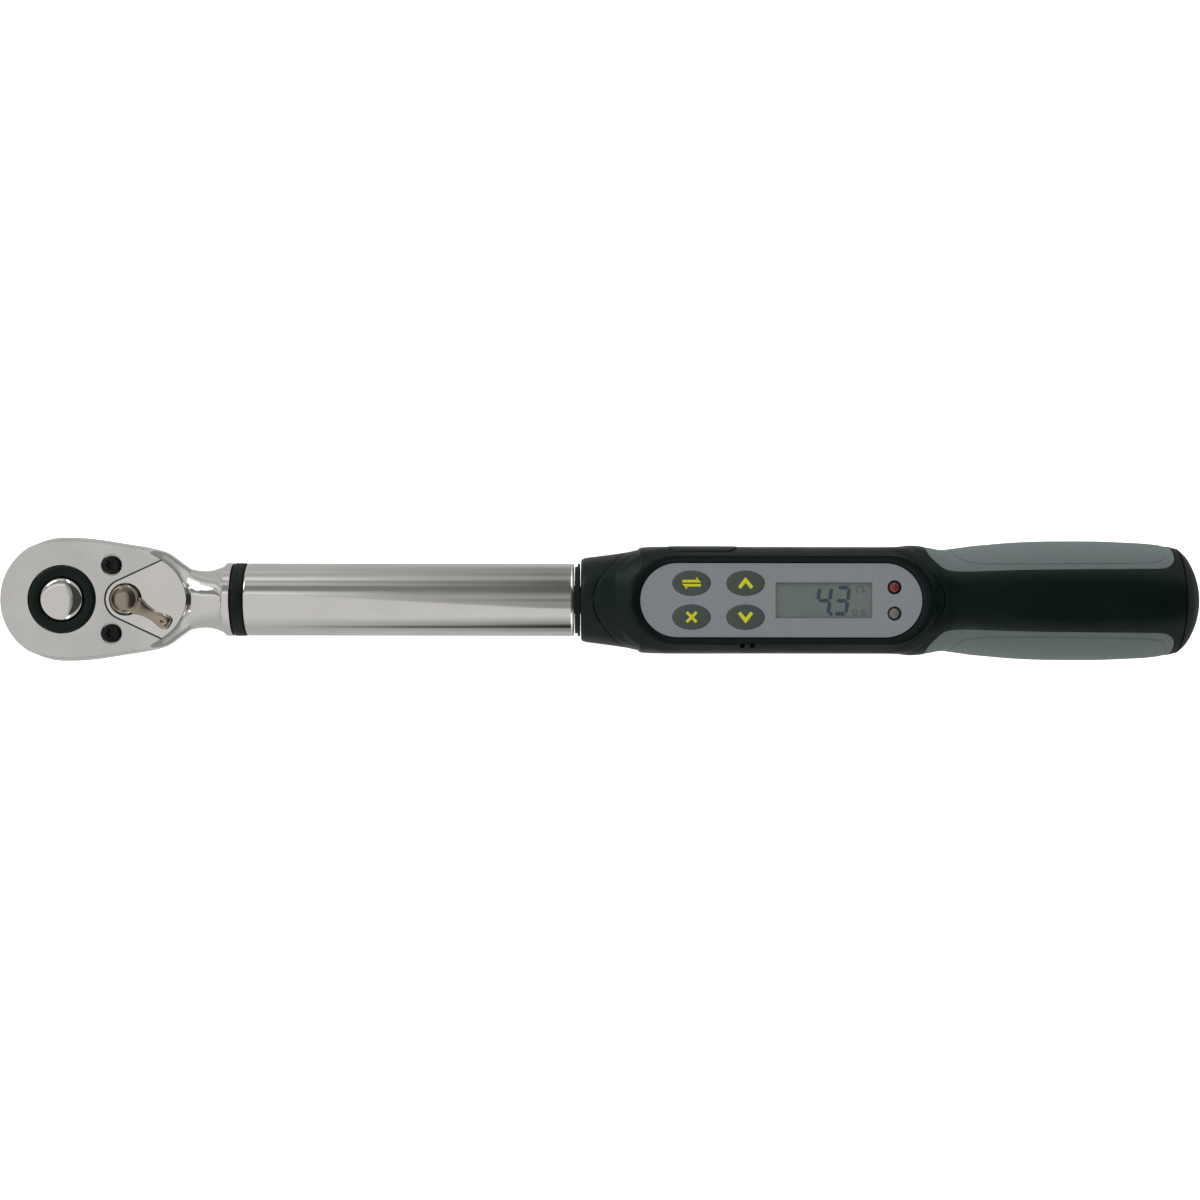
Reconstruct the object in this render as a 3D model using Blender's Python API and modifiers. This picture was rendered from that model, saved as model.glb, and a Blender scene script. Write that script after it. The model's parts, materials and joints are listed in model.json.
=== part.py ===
"""Electronic torque wrench with a 3/8 inch reversible ratchet head.

Sizes are in millimetres and become metres where meshes and places are made.
X runs from the drive square towards the handle, and Z runs out of the display face.
The origin is the centre of the drive square's end face.
"""
import math

import bmesh
import bpy

MM = 0.001
GAP = 0.3
AXIS_Z = 19.4

# Ratchet head
HEAD_RADIUS = 20.4
HEAD_HALF_THICKNESS = 8.0
HEAD_TOP = AXIS_Z + HEAD_HALF_THICKNESS
HEAD_BOTTOM = AXIS_Z - HEAD_HALF_THICKNESS
HEAD_FLOOR = HEAD_BOTTOM + 2.4
PLATE_THICKNESS = 1.6
CAVITY_TOP = HEAD_TOP - PLATE_THICKNESS - GAP
LAND_END_X = 40.8
LAND_END_RADIUS = 14.2
LAND_STEP = 1.5
V_HALF_ANGLE = 25.0
PIVOT_X = 20.9
NOSE_RADIUS = 6.9
SCREW_PLACE = (16.3, 11.2)
NECK_START_X = 39.0
COLLAR_START_X = 52.5
COLLAR_END_X = 55.4
SPIGOT_RADIUS = 9.4
SPIGOT_END_X = 76.0

# Drive
SQUARE_SIDE = 9.53
GEAR_RADIUS = 12.4
GEAR_TEETH = 36
GEAR_TOOTH_DEPTH = 0.9
HUB_RADIUS = 8.4
RING_RADIUS = 10.9
RING_BORE = 7.35
BUTTON_RADIUS = 7.0
BUTTON_TRAVEL = 2.5
STEM_RADIUS = 1.6
BALL_RADIUS = 1.6
BALL_HEIGHT = 5.0
BALL_STICKS_OUT = 0.7

# Reversing lever
LEVER_ANGLE = -29.5
LEVER_REACH = 15.3
LEVER_BOSS_RADIUS = 4.75
LEVER_SHAFT_RADIUS = 3.0
PAWL_ROCK = 5.9

# Tube and beam
TUBE_RADIUS = 12.0
TUBE_BORE = 10.3
TUBE_START_X = 60.0
TUBE_END_X = 168.1
BEAM_HALF_WIDTH = 4.5
BEAM_HALF_HEIGHT = 6.0
BEAM_START_X = 62.0
BEAM_END_X = 187.0
BEAM_END_RADIUS = 8.0
HEAD_PIN_X = 69.0
BEAM_SCREW_X = 179.0

# Handle: stations of x, half width, height above the axis, depth below it, squareness
HANDLE_FRONT_X = 170.4
HANDLE_STATIONS = [
    (170.4, 12.9, 12.9, 12.9, 2.1), (170.8, 13.6, 13.6, 13.6, 2.1), (171.8, 14.0, 14.0, 14.0, 2.1),
    (184.0, 15.6, 15.6, 15.6, 2.7), (189.0, 16.6, 16.9, 16.3, 3.6), (194.0, 17.6, 17.6, 16.8, 4.6),
    (230.0, 17.6, 17.6, 17.0, 4.8), (262.0, 17.6, 17.6, 17.2, 4.8), (273.6, 17.7, 17.6, 17.4, 4.0),
    (279.0, 18.2, 17.5, 17.5, 3.2), (284.0, 17.8, 17.2, 17.4, 2.8), (289.6, 16.9, 16.9, 17.2, 2.5),
    (294.9, 17.4, 17.0, 17.6, 2.3), (300.0, 18.1, 17.2, 18.4, 2.3), (305.5, 18.6, 17.5, 19.2, 2.3),
    (311.0, 19.1, 17.8, 19.9, 2.3), (318.0, 19.5, 18.0, 20.1, 2.3), (326.0, 19.7, 18.1, 20.1, 2.3),
    (340.0, 19.7, 18.1, 20.1, 2.3), (350.0, 19.35, 18.1, 20.0, 2.3), (358.0, 18.9, 17.9, 19.2, 2.2),
    (364.0, 18.1, 17.7, 18.2, 2.1), (366.6, 17.5, 17.5, 17.5, 2.0)]
SECTION_POINTS = 32
COVER_FRONT_X = 174.7
COVER_REAR_X = 288.5
COVER_BASE = AXIS_Z + 1.0
FRONT_BOW = 0.0423
REAR_BOW = 0.06
TRAY_START_X = 190.0
TRAY_END_X = 281.5
TRAY_HALF_WIDTH = 10.3
TRAY_FLOOR = AXIS_Z - 12.0
ROOF_UNDERSIDE = AXIS_Z + 13.0
# Rings of the raised rim: start x, end x, half width, height above the axis, length of the front end
RIM_RINGS = [
    (178.0, 292.0, 17.4, 6.0, 20.8), (178.0, 291.5, 17.4, 10.5, 20.5), (179.5, 290.0, 17.1, 13.4, 19.5),
    (181.5, 288.3, 16.4, 15.2, 18.6), (184.4, 286.2, 15.2, 16.8, 17.2), (185.6, 285.1, 14.6, 17.4, 16.4),
    (186.1, 284.7, 14.2, 17.6, 16.0)]
CASE_SCREW_PLACES = [(200.0, 13.6), (200.0, -13.6), (264.0, 13.6), (264.0, -13.6)]

# Display panel
PANEL_START_X = 189.8
PANEL_END_X = 281.2
PANEL_HALF_WIDTH = 12.0
PANEL_FLOOR = AXIS_Z + 15.6
PANEL_TOP = PANEL_FLOOR + 0.8
KEY_COLUMNS = (206.4, 223.9)
KEY_ROW = 5.5
KEY_HALF = (6.15, 4.0)
KEY_TRAVEL = 0.4
KEY_STEM_RADIUS = 2.0
WINDOW_X = 249.3
WINDOW_HALF = (15.55, 5.7)
MODULE_HALF = (16.6, 6.6)
LIGHT_X = 272.2
LIGHT_Y = 4.25
LIGHT_RADIUS = 1.95
BOARD_BOTTOM = AXIS_Z + 9.6
BOARD_TOP = AXIS_Z + 11.2
SWITCH_TOP = ROOF_UNDERSIDE - 0.8

# Port in the upper shoulder, sound slots in the lower one
PORT_X = (198.5, 221.5)
PORT_FLOOR_Y = 14.4
PORT_HEIGHT = AXIS_Z + 12.6
PORT_HALF_HEIGHT = 3.7
JACK_HEIGHT = AXIS_Z + 11.5
HINGE_Y = 17.25
SOUND_SLOT_X = (222.85, 226.15)

# Grip and batteries
PAD_DEPTH = 1.8
PAD_START_X = 283.3
PAD_END_X = 364.4
PAD_INNER_EDGE = [(287.6, 11.0), (290.3, 9.75), (295.0, 9.4), (303.0, 9.6), (314.0, 9.95), (330.0, 10.2),
                  (350.0, 10.35), (358.5, 10.45)]
BAY_RADIUS = 15.3
BAY_START_X = 304.0
CELL_RADIUS = 7.25
CELL_LENGTH = 50.5
CELL_START_X = 311.0
CELL_Y = 7.5
CAP_START_X = 366.9
CAP_END_X = 375.4
CAP_RADIUS = 17.4
SPIGOT_LENGTH = 4.2

PARTS = "torque_wrench"
CUTTERS = "torque_wrench_cutters"


# ---------------------------------------------------------------- scene and materials

def clear_scene():
    for item in list(bpy.data.objects):
        bpy.data.objects.remove(item, do_unlink=True)


def collection(name):
    group = bpy.data.collections.get(name)
    if group is None:
        group = bpy.data.collections.new(name)
        bpy.context.scene.collection.children.link(group)
    return group


def material(name, colour, roughness, metallic=0.0):
    mat = bpy.data.materials.get(name)
    if mat is None:
        mat = bpy.data.materials.new(name)
        mat.use_nodes = True
        shader = mat.node_tree.nodes["Principled BSDF"]
        shader.inputs["Base Color"].default_value = (*colour, 1.0)
        shader.inputs["Roughness"].default_value = roughness
        shader.inputs["Metallic"].default_value = metallic
    return mat


def chrome():
    return material("chrome", (0.62, 0.60, 0.58), 0.12, 1.0)


def steel():
    return material("steel", (0.42, 0.42, 0.43), 0.35, 1.0)


def black_steel():
    return material("black_steel", (0.03, 0.03, 0.03), 0.4, 0.6)


def bronze():
    return material("bronze", (0.24, 0.19, 0.14), 0.28, 1.0)


def black_plastic():
    return material("black_plastic", (0.02, 0.022, 0.022), 0.45)


def rubber():
    return material("rubber", (0.015, 0.015, 0.015), 0.7)


def grip_rubber():
    return material("grip_rubber", (0.13, 0.14, 0.14), 0.6)


def panel_grey():
    return material("panel_grey", (0.2, 0.21, 0.23), 0.4)


def key_green():
    return material("key_green", (0.05, 0.07, 0.06), 0.4)


def clear_plastic():
    return material("clear_plastic", (0.3, 0.33, 0.3), 0.1)


def board_green():
    return material("board_green", (0.02, 0.12, 0.05), 0.5)


# ---------------------------------------------------------------- shapes

def put(name, mesh, mat, origin=(0, 0, 0), group=PARTS):
    """Link a mesh whose points are in metres, placed from an origin in millimetres."""
    obj = bpy.data.objects.new(name, mesh)
    obj.location = [value * MM for value in origin]
    if mat is not None:
        mesh.materials.append(mat)
    collection(group).objects.link(obj)
    return obj


def mesh_from(bm, name):
    bmesh.ops.recalc_face_normals(bm, faces=bm.faces)
    mesh = bpy.data.meshes.new(name)
    bm.to_mesh(mesh)
    bm.free()
    return mesh


def box(name, low, high, mat=None, origin=None, group=PARTS):
    """A box between two corners in world millimetres; its origin is its middle by default."""
    middle = [(a + b) / 2 for a, b in zip(low, high)]
    origin = middle if origin is None else origin
    bm = bmesh.new()
    bmesh.ops.create_cube(bm, size=1.0)
    for vert in bm.verts:
        for axis in range(3):
            size = (high[axis] - low[axis]) * vert.co[axis]
            vert.co[axis] = (size + middle[axis] - origin[axis]) * MM
    return put(name, mesh_from(bm, name), mat, origin, group)


def ball(name, centre, radius, mat, origin=None):
    bm = bmesh.new()
    bmesh.ops.create_uvsphere(bm, u_segments=14, v_segments=8, radius=radius * MM)
    origin = centre if origin is None else origin
    return put(name, mesh_from(bm, name), mat, origin)


def turned(name, profile, mat, origin, along="Z", steps=32, closed=False, group=PARTS):
    """Turn (radius, distance) points about an axis. The points run outside from top to bottom."""
    bm = bmesh.new()
    verts = [bm.verts.new((radius * MM, 0, distance * MM)) for radius, distance in profile]
    for first, second in zip(verts, verts[1:]):
        bm.edges.new((first, second))
    if closed:
        bm.edges.new((verts[-1], verts[0]))
    mesh = bpy.data.meshes.new(name)
    bm.to_mesh(mesh)
    bm.free()
    obj = put(name, mesh, mat, origin, group)
    screw = obj.modifiers.new("turn", "SCREW")
    screw.steps = steps
    screw.render_steps = steps
    screw.use_merge_vertices = True
    screw.merge_threshold = 0.00001
    screw.use_smooth_shade = True
    if along == "X":
        obj.rotation_euler = (0, math.radians(90), 0)
    if along == "Y":
        obj.rotation_euler = (math.radians(-90), 0, 0)
    return obj


def rod(name, radius, start, end, mat, origin, along="Z", steps=32, group=PARTS):
    profile = [(0, end), (radius, end), (radius, start), (0, start)]
    return turned(name, profile, mat, origin, along, steps, False, group)


def stepped_way(name, upper_radius, lower_radius, step, span, origin, steps=18):
    """The cutter of a hole that has one radius above a step and another below it."""
    bottom, top = span
    profile = [(0, top), (upper_radius, top), (upper_radius, step), (lower_radius, step),
               (lower_radius, bottom), (0, bottom)]
    return turned(name, profile, None, origin, "Z", steps)


def ring(name, outer, bore, start, end, mat, origin, along="Z", steps=32, group=PARTS):
    profile = [(outer, end), (outer, start), (bore, start), (bore, end)]
    return turned(name, profile, mat, origin, along, steps, True, group)


def made_mesh(curve_object, mat, flat=False):
    """Turn a curve object into a closed mesh object of the same name and place."""
    name = curve_object.name
    graph = bpy.context.evaluated_depsgraph_get()
    mesh = bpy.data.meshes.new_from_object(curve_object.evaluated_get(graph))
    matrix = curve_object.matrix_world.copy()
    group = curve_object.users_collection[0]
    curve = curve_object.data
    bpy.data.objects.remove(curve_object)
    bpy.data.curves.remove(curve)
    bm = bmesh.new()
    bm.from_mesh(mesh)
    bmesh.ops.remove_doubles(bm, verts=bm.verts, dist=0.000001)
    if flat:
        bmesh.ops.dissolve_limit(bm, angle_limit=0.005, verts=bm.verts, edges=bm.edges)
    bmesh.ops.recalc_face_normals(bm, faces=bm.faces)
    bm.to_mesh(mesh)
    bm.free()
    mesh.materials.clear()
    if mat is not None:
        mesh.materials.append(mat)
    obj = bpy.data.objects.new(name, mesh)
    obj.matrix_world = matrix
    group.objects.link(obj)
    return obj


def plate(name, outlines, bottom, top, mat=None, origin=(0, 0), group=PARTS):
    """Extrude flat outlines, the first outside and the others holes, between two heights."""
    curve = bpy.data.curves.new(name, "CURVE")
    curve.dimensions = "2D"
    curve.fill_mode = "BOTH"
    curve.extrude = (top - bottom) / 2 * MM
    for outline in outlines:
        spline = curve.splines.new("POLY")
        spline.points.add(len(outline) - 1)
        for point, (x, y) in zip(spline.points, outline):
            point.co = ((x - origin[0]) * MM, (y - origin[1]) * MM, 0, 1)
        spline.use_cyclic_u = True
    obj = bpy.data.objects.new(name, curve)
    obj.location = (origin[0] * MM, origin[1] * MM, (top + bottom) / 2 * MM)
    collection(group).objects.link(obj)
    bpy.context.view_layer.update()
    return made_mesh(obj, mat, len(outlines) == 1)


def wire(name, points, radius, mat, origin=(0, 0, 0)):
    """A round wire through points in millimetres, measured from its origin."""
    curve = bpy.data.curves.new(name, "CURVE")
    curve.dimensions = "3D"
    curve.bevel_depth = radius * MM
    curve.bevel_resolution = 1
    curve.use_fill_caps = True
    spline = curve.splines.new("POLY")
    spline.points.add(len(points) - 1)
    for point, place in zip(spline.points, points):
        point.co = (*[value * MM for value in place], 1)
    obj = bpy.data.objects.new(name, curve)
    obj.location = [value * MM for value in origin]
    collection(PARTS).objects.link(obj)
    bpy.context.view_layer.update()
    return made_mesh(obj, mat)


def loft(name, rings, mat=None, group=PARTS):
    """Join rings of equally many points into one closed skin with flat ends."""
    bm = bmesh.new()
    rows = [[bm.verts.new([value * MM for value in point]) for point in points] for points in rings]
    count = len(rows[0])
    for first, second in zip(rows, rows[1:]):
        for i in range(count):
            j = (i + 1) % count
            bm.faces.new((first[i], first[j], second[j], second[i]))
    bm.faces.new(rows[0])
    bm.faces.new(rows[-1])
    return put(name, mesh_from(bm, name), mat, (0, 0, 0), group)


def boolean(target, tool, operation):
    mod = target.modifiers.new(operation.lower() + "_" + tool.name, "BOOLEAN")
    mod.operation = operation
    mod.object = tool
    tool.hide_render = True
    tool.display_type = "WIRE"
    for group in tool.users_collection:
        group.objects.unlink(tool)
    collection(CUTTERS).objects.link(tool)


def cut(target, *tools):
    for tool in tools:
        boolean(target, tool, "DIFFERENCE")


def join(target, *tools):
    for tool in tools:
        boolean(target, tool, "UNION")


def keep_common(target, tool):
    boolean(target, tool, "INTERSECT")


# ---------------------------------------------------------------- outlines

def arc(centre_x, centre_y, radius, start, end, count):
    """Points on an arc between two angles in degrees, both ends included."""
    points = []
    for i in range(count):
        angle = math.radians(start + (end - start) * i / (count - 1))
        points.append((centre_x + radius * math.cos(angle), centre_y + radius * math.sin(angle)))
    return points


def circle(centre_x, centre_y, radius, count=32):
    return arc(centre_x, centre_y, radius, 0, 360, count + 1)[:-1]


def ellipse(centre_x, centre_y, half_x, half_y, count=28):
    return [(centre_x + half_x * x, centre_y + half_y * y) for x, y in circle(0, 0, 1, count)]


def rectangle(centre_x, centre_y, half_x, half_y):
    return [(centre_x - half_x, centre_y - half_y), (centre_x + half_x, centre_y - half_y),
            (centre_x + half_x, centre_y + half_y), (centre_x - half_x, centre_y + half_y)]


def stadium(start_x, end_x, half_width, count=17, front_length=None):
    """A long outline along X with half round ends, the front one drawn out to its own length."""
    length = half_width if front_length is None else front_length
    right = arc(end_x - half_width, 0, half_width, -90, 90, count)
    left = [(start_x + length + x * length, y * half_width) for x, y in arc(0, 0, 1, 90, 270, count)]
    return right + left


def smooth(points, steps):
    """A smooth run through the points, with a few steps to each span."""
    result = []
    for i in range(len(points) - 1):
        before = points[max(i - 1, 0)]
        first, second = points[i], points[i + 1]
        after = points[min(i + 2, len(points) - 1)]
        for k in range(steps):
            t = k / steps
            result.append(tuple(
                0.5 * (2 * b + (c - a) * t + (2 * a - 5 * b + 4 * c - d) * t ** 2
                       + (3 * b - a - 3 * c + d) * t ** 3)
                for a, b, c, d in zip(before, first, second, after)))
    result.append(points[-1])
    return result


def flipped(points):
    return [(x, -y) for x, y in points]


def section(x, half_width, height, depth, squareness, shrink=0.0, floor=None):
    """One closed cross-section of the handle, in world millimetres."""
    points = []
    for i in range(SECTION_POINTS):
        angle = 2 * math.pi * i / SECTION_POINTS
        side, up = math.cos(angle), math.sin(angle)
        power = 2 / squareness
        y = (half_width - shrink) * math.copysign(abs(side) ** power, side)
        reach = height if up > 0 else depth
        z = AXIS_Z + (reach - shrink) * math.copysign(abs(up) ** power, up)
        points.append((x, y, z if floor is None else max(z, floor)))
    return points


def handle_skin(name, shrink=0.0, group=PARTS, mat=None):
    """The whole outside of the handle, or a skin that lies the same depth below it all over."""
    rings = []
    for x, half_width, height, depth, squareness in HANDLE_STATIONS:
        rings.append(section(x, half_width, height, depth, squareness, shrink, shrink))
    return loft(name, rings, mat, group)


def handle_blank(name, mat=None):
    """The handle's skin with the raised rim that runs round the display panel."""
    blank = handle_skin(name, mat=mat)
    rings = [[(x, y, AXIS_Z + z) for x, y in stadium(start, end, half_width, 15, front_length)]
             for start, end, half_width, z, front_length in RIM_RINGS]
    join(blank, loft(f"{name}_rim", rings))
    return blank


# ---------------------------------------------------------------- ratchet head

def head_outline():
    shoulder = [(0, 20.4), (10, 20.05), (20, 18.75), (28.5, 17.1), (32.0, 15.9), (35.5, 13.5),
                (39.2, 11.0), (42.0, 10.0)]
    upper = smooth(shoulder, 3)
    front = arc(0, 0, HEAD_RADIUS, 90, 270, 25)[1:-1]
    return upper[::-1] + front + flipped(upper)


def v_edge(radius, tip_x):
    """The two straight edges of the V and the nose arc between them, from top tip to bottom tip."""
    side = 90 + V_HALF_ANGLE
    start = (PIVOT_X + radius * math.cos(math.radians(side)), radius * math.sin(math.radians(side)))
    reach = (tip_x - start[0]) / math.cos(math.radians(V_HALF_ANGLE))
    tip = (start[0] + reach * math.cos(math.radians(V_HALF_ANGLE)),
           start[1] + reach * math.sin(math.radians(V_HALF_ANGLE)))
    nose = arc(PIVOT_X, 0, radius, side, 360 - side, 13)
    return [tip] + nose + [(tip[0], -tip[1])]


def in_front_of_v(nose_radius):
    """Everything in front of the V shaped land, reaching well outside the head."""
    return v_edge(nose_radius, 46.0) + [(-24, -24), (-24, 24)]


def head_blank(name, mat, group=PARTS):
    """The head's outside without its neck, with rounded edges."""
    blank = plate(name, [head_outline()], HEAD_BOTTOM, HEAD_TOP, mat, (0, 0), group)
    bevel = blank.modifiers.new("edge", "BEVEL")
    bevel.width = 1.2 * MM
    bevel.segments = 2
    bevel.limit_method = "ANGLE"
    bevel.angle_limit = math.radians(50)
    return blank


def ratchet_head():
    head = head_blank("ratchet_head", chrome())
    neck = []
    for x, half_width, half_height in [(NECK_START_X, 10.9, 6.4), (42, 10.0, 7.0), (45.2, 9.6, 8.4),
                                       (48.5, 10.4, 10.2), (COLLAR_START_X, 12.1, 12.1),
                                       (COLLAR_END_X, 12.1, 12.1)]:
        neck.append(section(x, half_width, half_height, half_height, 2.0))
    neck_body = loft("neck", neck)
    spigot = rod("spigot", SPIGOT_RADIUS, COLLAR_END_X - 3, SPIGOT_END_X, None, (0, 0, AXIS_Z), "X")
    join(head, neck_body, spigot)

    step_arc = arc(LAND_END_X - LAND_END_RADIUS, 0, LAND_END_RADIUS, 75, -75, 17)
    step = plate("land_step", [step_arc + [(46, -18), (46, 18)]], HEAD_TOP - LAND_STEP, HEAD_TOP + 2)
    recess = plate("plate_recess", [in_front_of_v(NOSE_RADIUS - GAP)],
                   HEAD_TOP - PLATE_THICKNESS - GAP, HEAD_TOP + 2)
    gear_room = stepped_way("gear_room", GEAR_RADIUS + 0.4, HUB_RADIUS + GAP, HEAD_FLOOR,
                            (HEAD_BOTTOM - 1, HEAD_TOP + 1), (0, 0, 0), 40)
    pawl_room = plate("pawl_room", [pawl_outline(0.6, 9.6)], HEAD_FLOOR + 0.1, CAVITY_TOP + 0.1)
    lever_way = stepped_way("lever_way", LEVER_BOSS_RADIUS + 0.5, LEVER_SHAFT_RADIUS + GAP, HEAD_TOP - 1.0,
                            (HEAD_FLOOR - 1, HEAD_TOP + 1), (PIVOT_X, 0, 0), 24)
    beam_slot = box("beam_slot", (BEAM_START_X - 1, -BEAM_HALF_WIDTH - GAP, AXIS_Z - BEAM_HALF_HEIGHT - GAP),
                    (SPIGOT_END_X + 1, BEAM_HALF_WIDTH + GAP, AXIS_Z + BEAM_HALF_HEIGHT + GAP))
    pin_hole = rod("head_pin_hole", 2.3, -12, 12, None, (HEAD_PIN_X, 0, AXIS_Z), "Y", 20)
    cut(head, step, recess, gear_room, pawl_room, lever_way, beam_slot, pin_hole)
    for name, side in (("upper", 1), ("lower", -1)):
        hole = rod(f"plate_screw_hole_{name}", 1.5, HEAD_FLOOR + 3, HEAD_TOP + 1, None,
                   (SCREW_PLACE[0], side * SCREW_PLACE[1], 0), "Z", 20)
        cut(head, hole)
    return head


def cover_plate():
    cover = head_blank("cover_plate", chrome())
    keep_common(cover, plate("cover_plate_plan", [in_front_of_v(NOSE_RADIUS)], HEAD_TOP - PLATE_THICKNESS,
                             HEAD_TOP + 2))
    cut(cover, rod("ring_hole", RING_RADIUS + GAP, HEAD_TOP - 4, HEAD_TOP + 1, None, (0, 0, 0), "Z", 48))
    for name, side in (("upper", 1), ("lower", -1)):
        place = (SCREW_PLACE[0], side * SCREW_PLACE[1], 0)
        cut(cover, rod(f"head_hole_{name}", 3.4, HEAD_TOP - 1.0, HEAD_TOP + 1, None, place, "Z", 24))
        cut(cover, rod(f"shank_hole_{name}", 1.7, HEAD_TOP - 4, HEAD_TOP + 1, None, place, "Z", 24))
    return cover


def star_outline(centre_x, centre_y, radius, count=6):
    points = []
    for i in range(4 * count):
        reach = radius * (1 + 0.17 * math.cos(math.pi * i / 2))
        angle = 2 * math.pi * i / (4 * count)
        points.append((centre_x + reach * math.cos(angle), centre_y + reach * math.sin(angle)))
    return points


def cover_screws():
    for number, side in ((1, 1), (2, -1)):
        x, y = SCREW_PLACE[0], side * SCREW_PLACE[1]
        head_base = HEAD_TOP - 0.9
        profile = [(0, HEAD_TOP + 0.1), (2.9, HEAD_TOP + 0.1), (3.1, HEAD_TOP - 0.1), (3.1, head_base),
                   (1.3, head_base), (1.3, HEAD_FLOOR + 3.5), (0, HEAD_FLOOR + 3.5)]
        screw = turned(f"cover_screw_{number}", profile, black_steel(), (x, y, 0), "Z", 20)
        cut(screw, plate(f"star_{number}", [star_outline(x, y, 1.25)], HEAD_TOP - 0.6, HEAD_TOP + 1))


def gear_outline():
    points = []
    for i in range(GEAR_TEETH):
        for share, radius in ((0.0, GEAR_RADIUS), (0.5, GEAR_RADIUS - GEAR_TOOTH_DEPTH)):
            angle = 2 * math.pi * (i + share) / GEAR_TEETH
            points.append((radius * math.cos(angle), radius * math.sin(angle)))
    return points


def drive_gear():
    gear = plate("drive_gear", [gear_outline()], HEAD_FLOOR + GAP, CAVITY_TOP - 0.4, steel())
    hub = rod("lower_hub", HUB_RADIUS, HEAD_BOTTOM - 0.6, HEAD_FLOOR + 1, None, (0, 0, 0), "Z", 32)
    half = SQUARE_SIDE / 2
    square = box("square", (-half, -half, 0), (half, half, HEAD_BOTTOM + 1))
    edges = square.modifiers.new("edge", "BEVEL")
    edges.width = 0.6 * MM
    edges.segments = 2
    join(gear, hub, square)
    cut(gear, rod("button_bore", RING_BORE, HEAD_TOP - 6.5, HEAD_TOP + 1, None, (0, 0, 0), "Z", 32))
    cut(gear, rod("stem_bore", STEM_RADIUS + GAP, 1.0, HEAD_TOP, None, (0, 0, 0), "Z", 20))
    cut(gear, rod("ball_bore", BALL_RADIUS + 0.2, 0, 8, None, (0, 0, BALL_HEIGHT), "Y", 20))
    return gear


def dust_ring():
    profile = [(RING_RADIUS - 0.5, HEAD_TOP + 0.5), (RING_RADIUS, HEAD_TOP), (RING_RADIUS, CAVITY_TOP),
               (RING_BORE, CAVITY_TOP), (RING_BORE, HEAD_TOP), (RING_BORE + 0.5, HEAD_TOP + 0.5)]
    return turned("dust_ring", profile, black_plastic(), (0, 0, 0), "Z", 36, True)


def release_button():
    skirt = HEAD_TOP - 2.0
    dome = [(BUTTON_RADIUS * math.sin(math.radians(a)),
             HEAD_TOP + 0.4 + 1.6 * (math.cos(math.radians(a)) - 1) + 1.6) for a in range(0, 91, 18)]
    waist_top, waist_bottom = BALL_HEIGHT + 3.2, BALL_HEIGHT + 0.9
    profile = dome + [(BUTTON_RADIUS, skirt), (STEM_RADIUS, skirt), (STEM_RADIUS, waist_top),
                      (0.8, waist_top - 0.5), (0.8, waist_bottom + 0.5), (STEM_RADIUS, waist_bottom),
                      (STEM_RADIUS, 3.8), (0, 3.8)]
    return turned("release_button", profile, chrome(), (0, 0, 0), "Z", 24)


def helix(radius, start, end, turns, per_turn=12):
    points = []
    count = int(turns * per_turn)
    for i in range(count + 1):
        angle = 2 * math.pi * turns * i / count
        points.append((radius * math.cos(angle), radius * math.sin(angle), start + (end - start) * i / count))
    return points


def release_spring():
    low, high = HEAD_TOP - 6.1, HEAD_TOP - 2.4
    return wire("release_spring", helix(3.4, low, high, 2.5), 0.3, steel())


def detent_ball():
    y = SQUARE_SIDE / 2 + BALL_STICKS_OUT - BALL_RADIUS
    return ball("detent_ball", (0, y, BALL_HEIGHT), BALL_RADIUS, steel())


def pawl_outline(grow, half_span):
    """A double ended rocker round the lever's shaft, wide at the gear and narrow behind."""
    back = arc(PIVOT_X, 0, 5.0 + grow, -75, 75, 9)
    return [(8.0 - grow, -half_span), (13.5, -half_span)] + back + [(13.5, half_span), (8.0 - grow, half_span)]


def turned_about_pivot(degrees):
    """Where the gear's axis lies, seen from a pawl that has rocked by some degrees."""
    angle = math.radians(-degrees)
    return (PIVOT_X - PIVOT_X * math.cos(angle), -PIVOT_X * math.sin(angle))


def pawl():
    body = plate("pawl", [pawl_outline(0, 8.4)], HEAD_FLOOR + GAP, CAVITY_TOP - 0.6, steel(),
                 (PIVOT_X, 0))
    for name, rock in (("rest", 0.0), ("middle", PAWL_ROCK / 2), ("rocked", PAWL_ROCK)):
        x, y = turned_about_pivot(rock)
        cut(body, rod(f"gear_clearance_{name}", GEAR_RADIUS + 0.3, 0, 40, None, (x, y, 0), "Z", 48))
    cut(body, rod("pawl_bore", LEVER_SHAFT_RADIUS + 0.5, 0, 40, None, (PIVOT_X, 0, 0), "Z", 24))
    return body


def lever_outline():
    """The boss, the waist and the thumb end, drawn along +X from the pivot."""
    upper = smooth([(4.3, 2.0), (6.2, 1.9), (9.5, 1.75), (12.0, 1.85), (14.2, 2.35)], 3)
    tip = arc(LEVER_REACH - 0.7, 0.0, 2.35, 60, -60, 7)
    return [(0.0, 1.9)] + upper + tip + flipped(upper)[::-1] + [(0.0, -1.9)]


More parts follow.
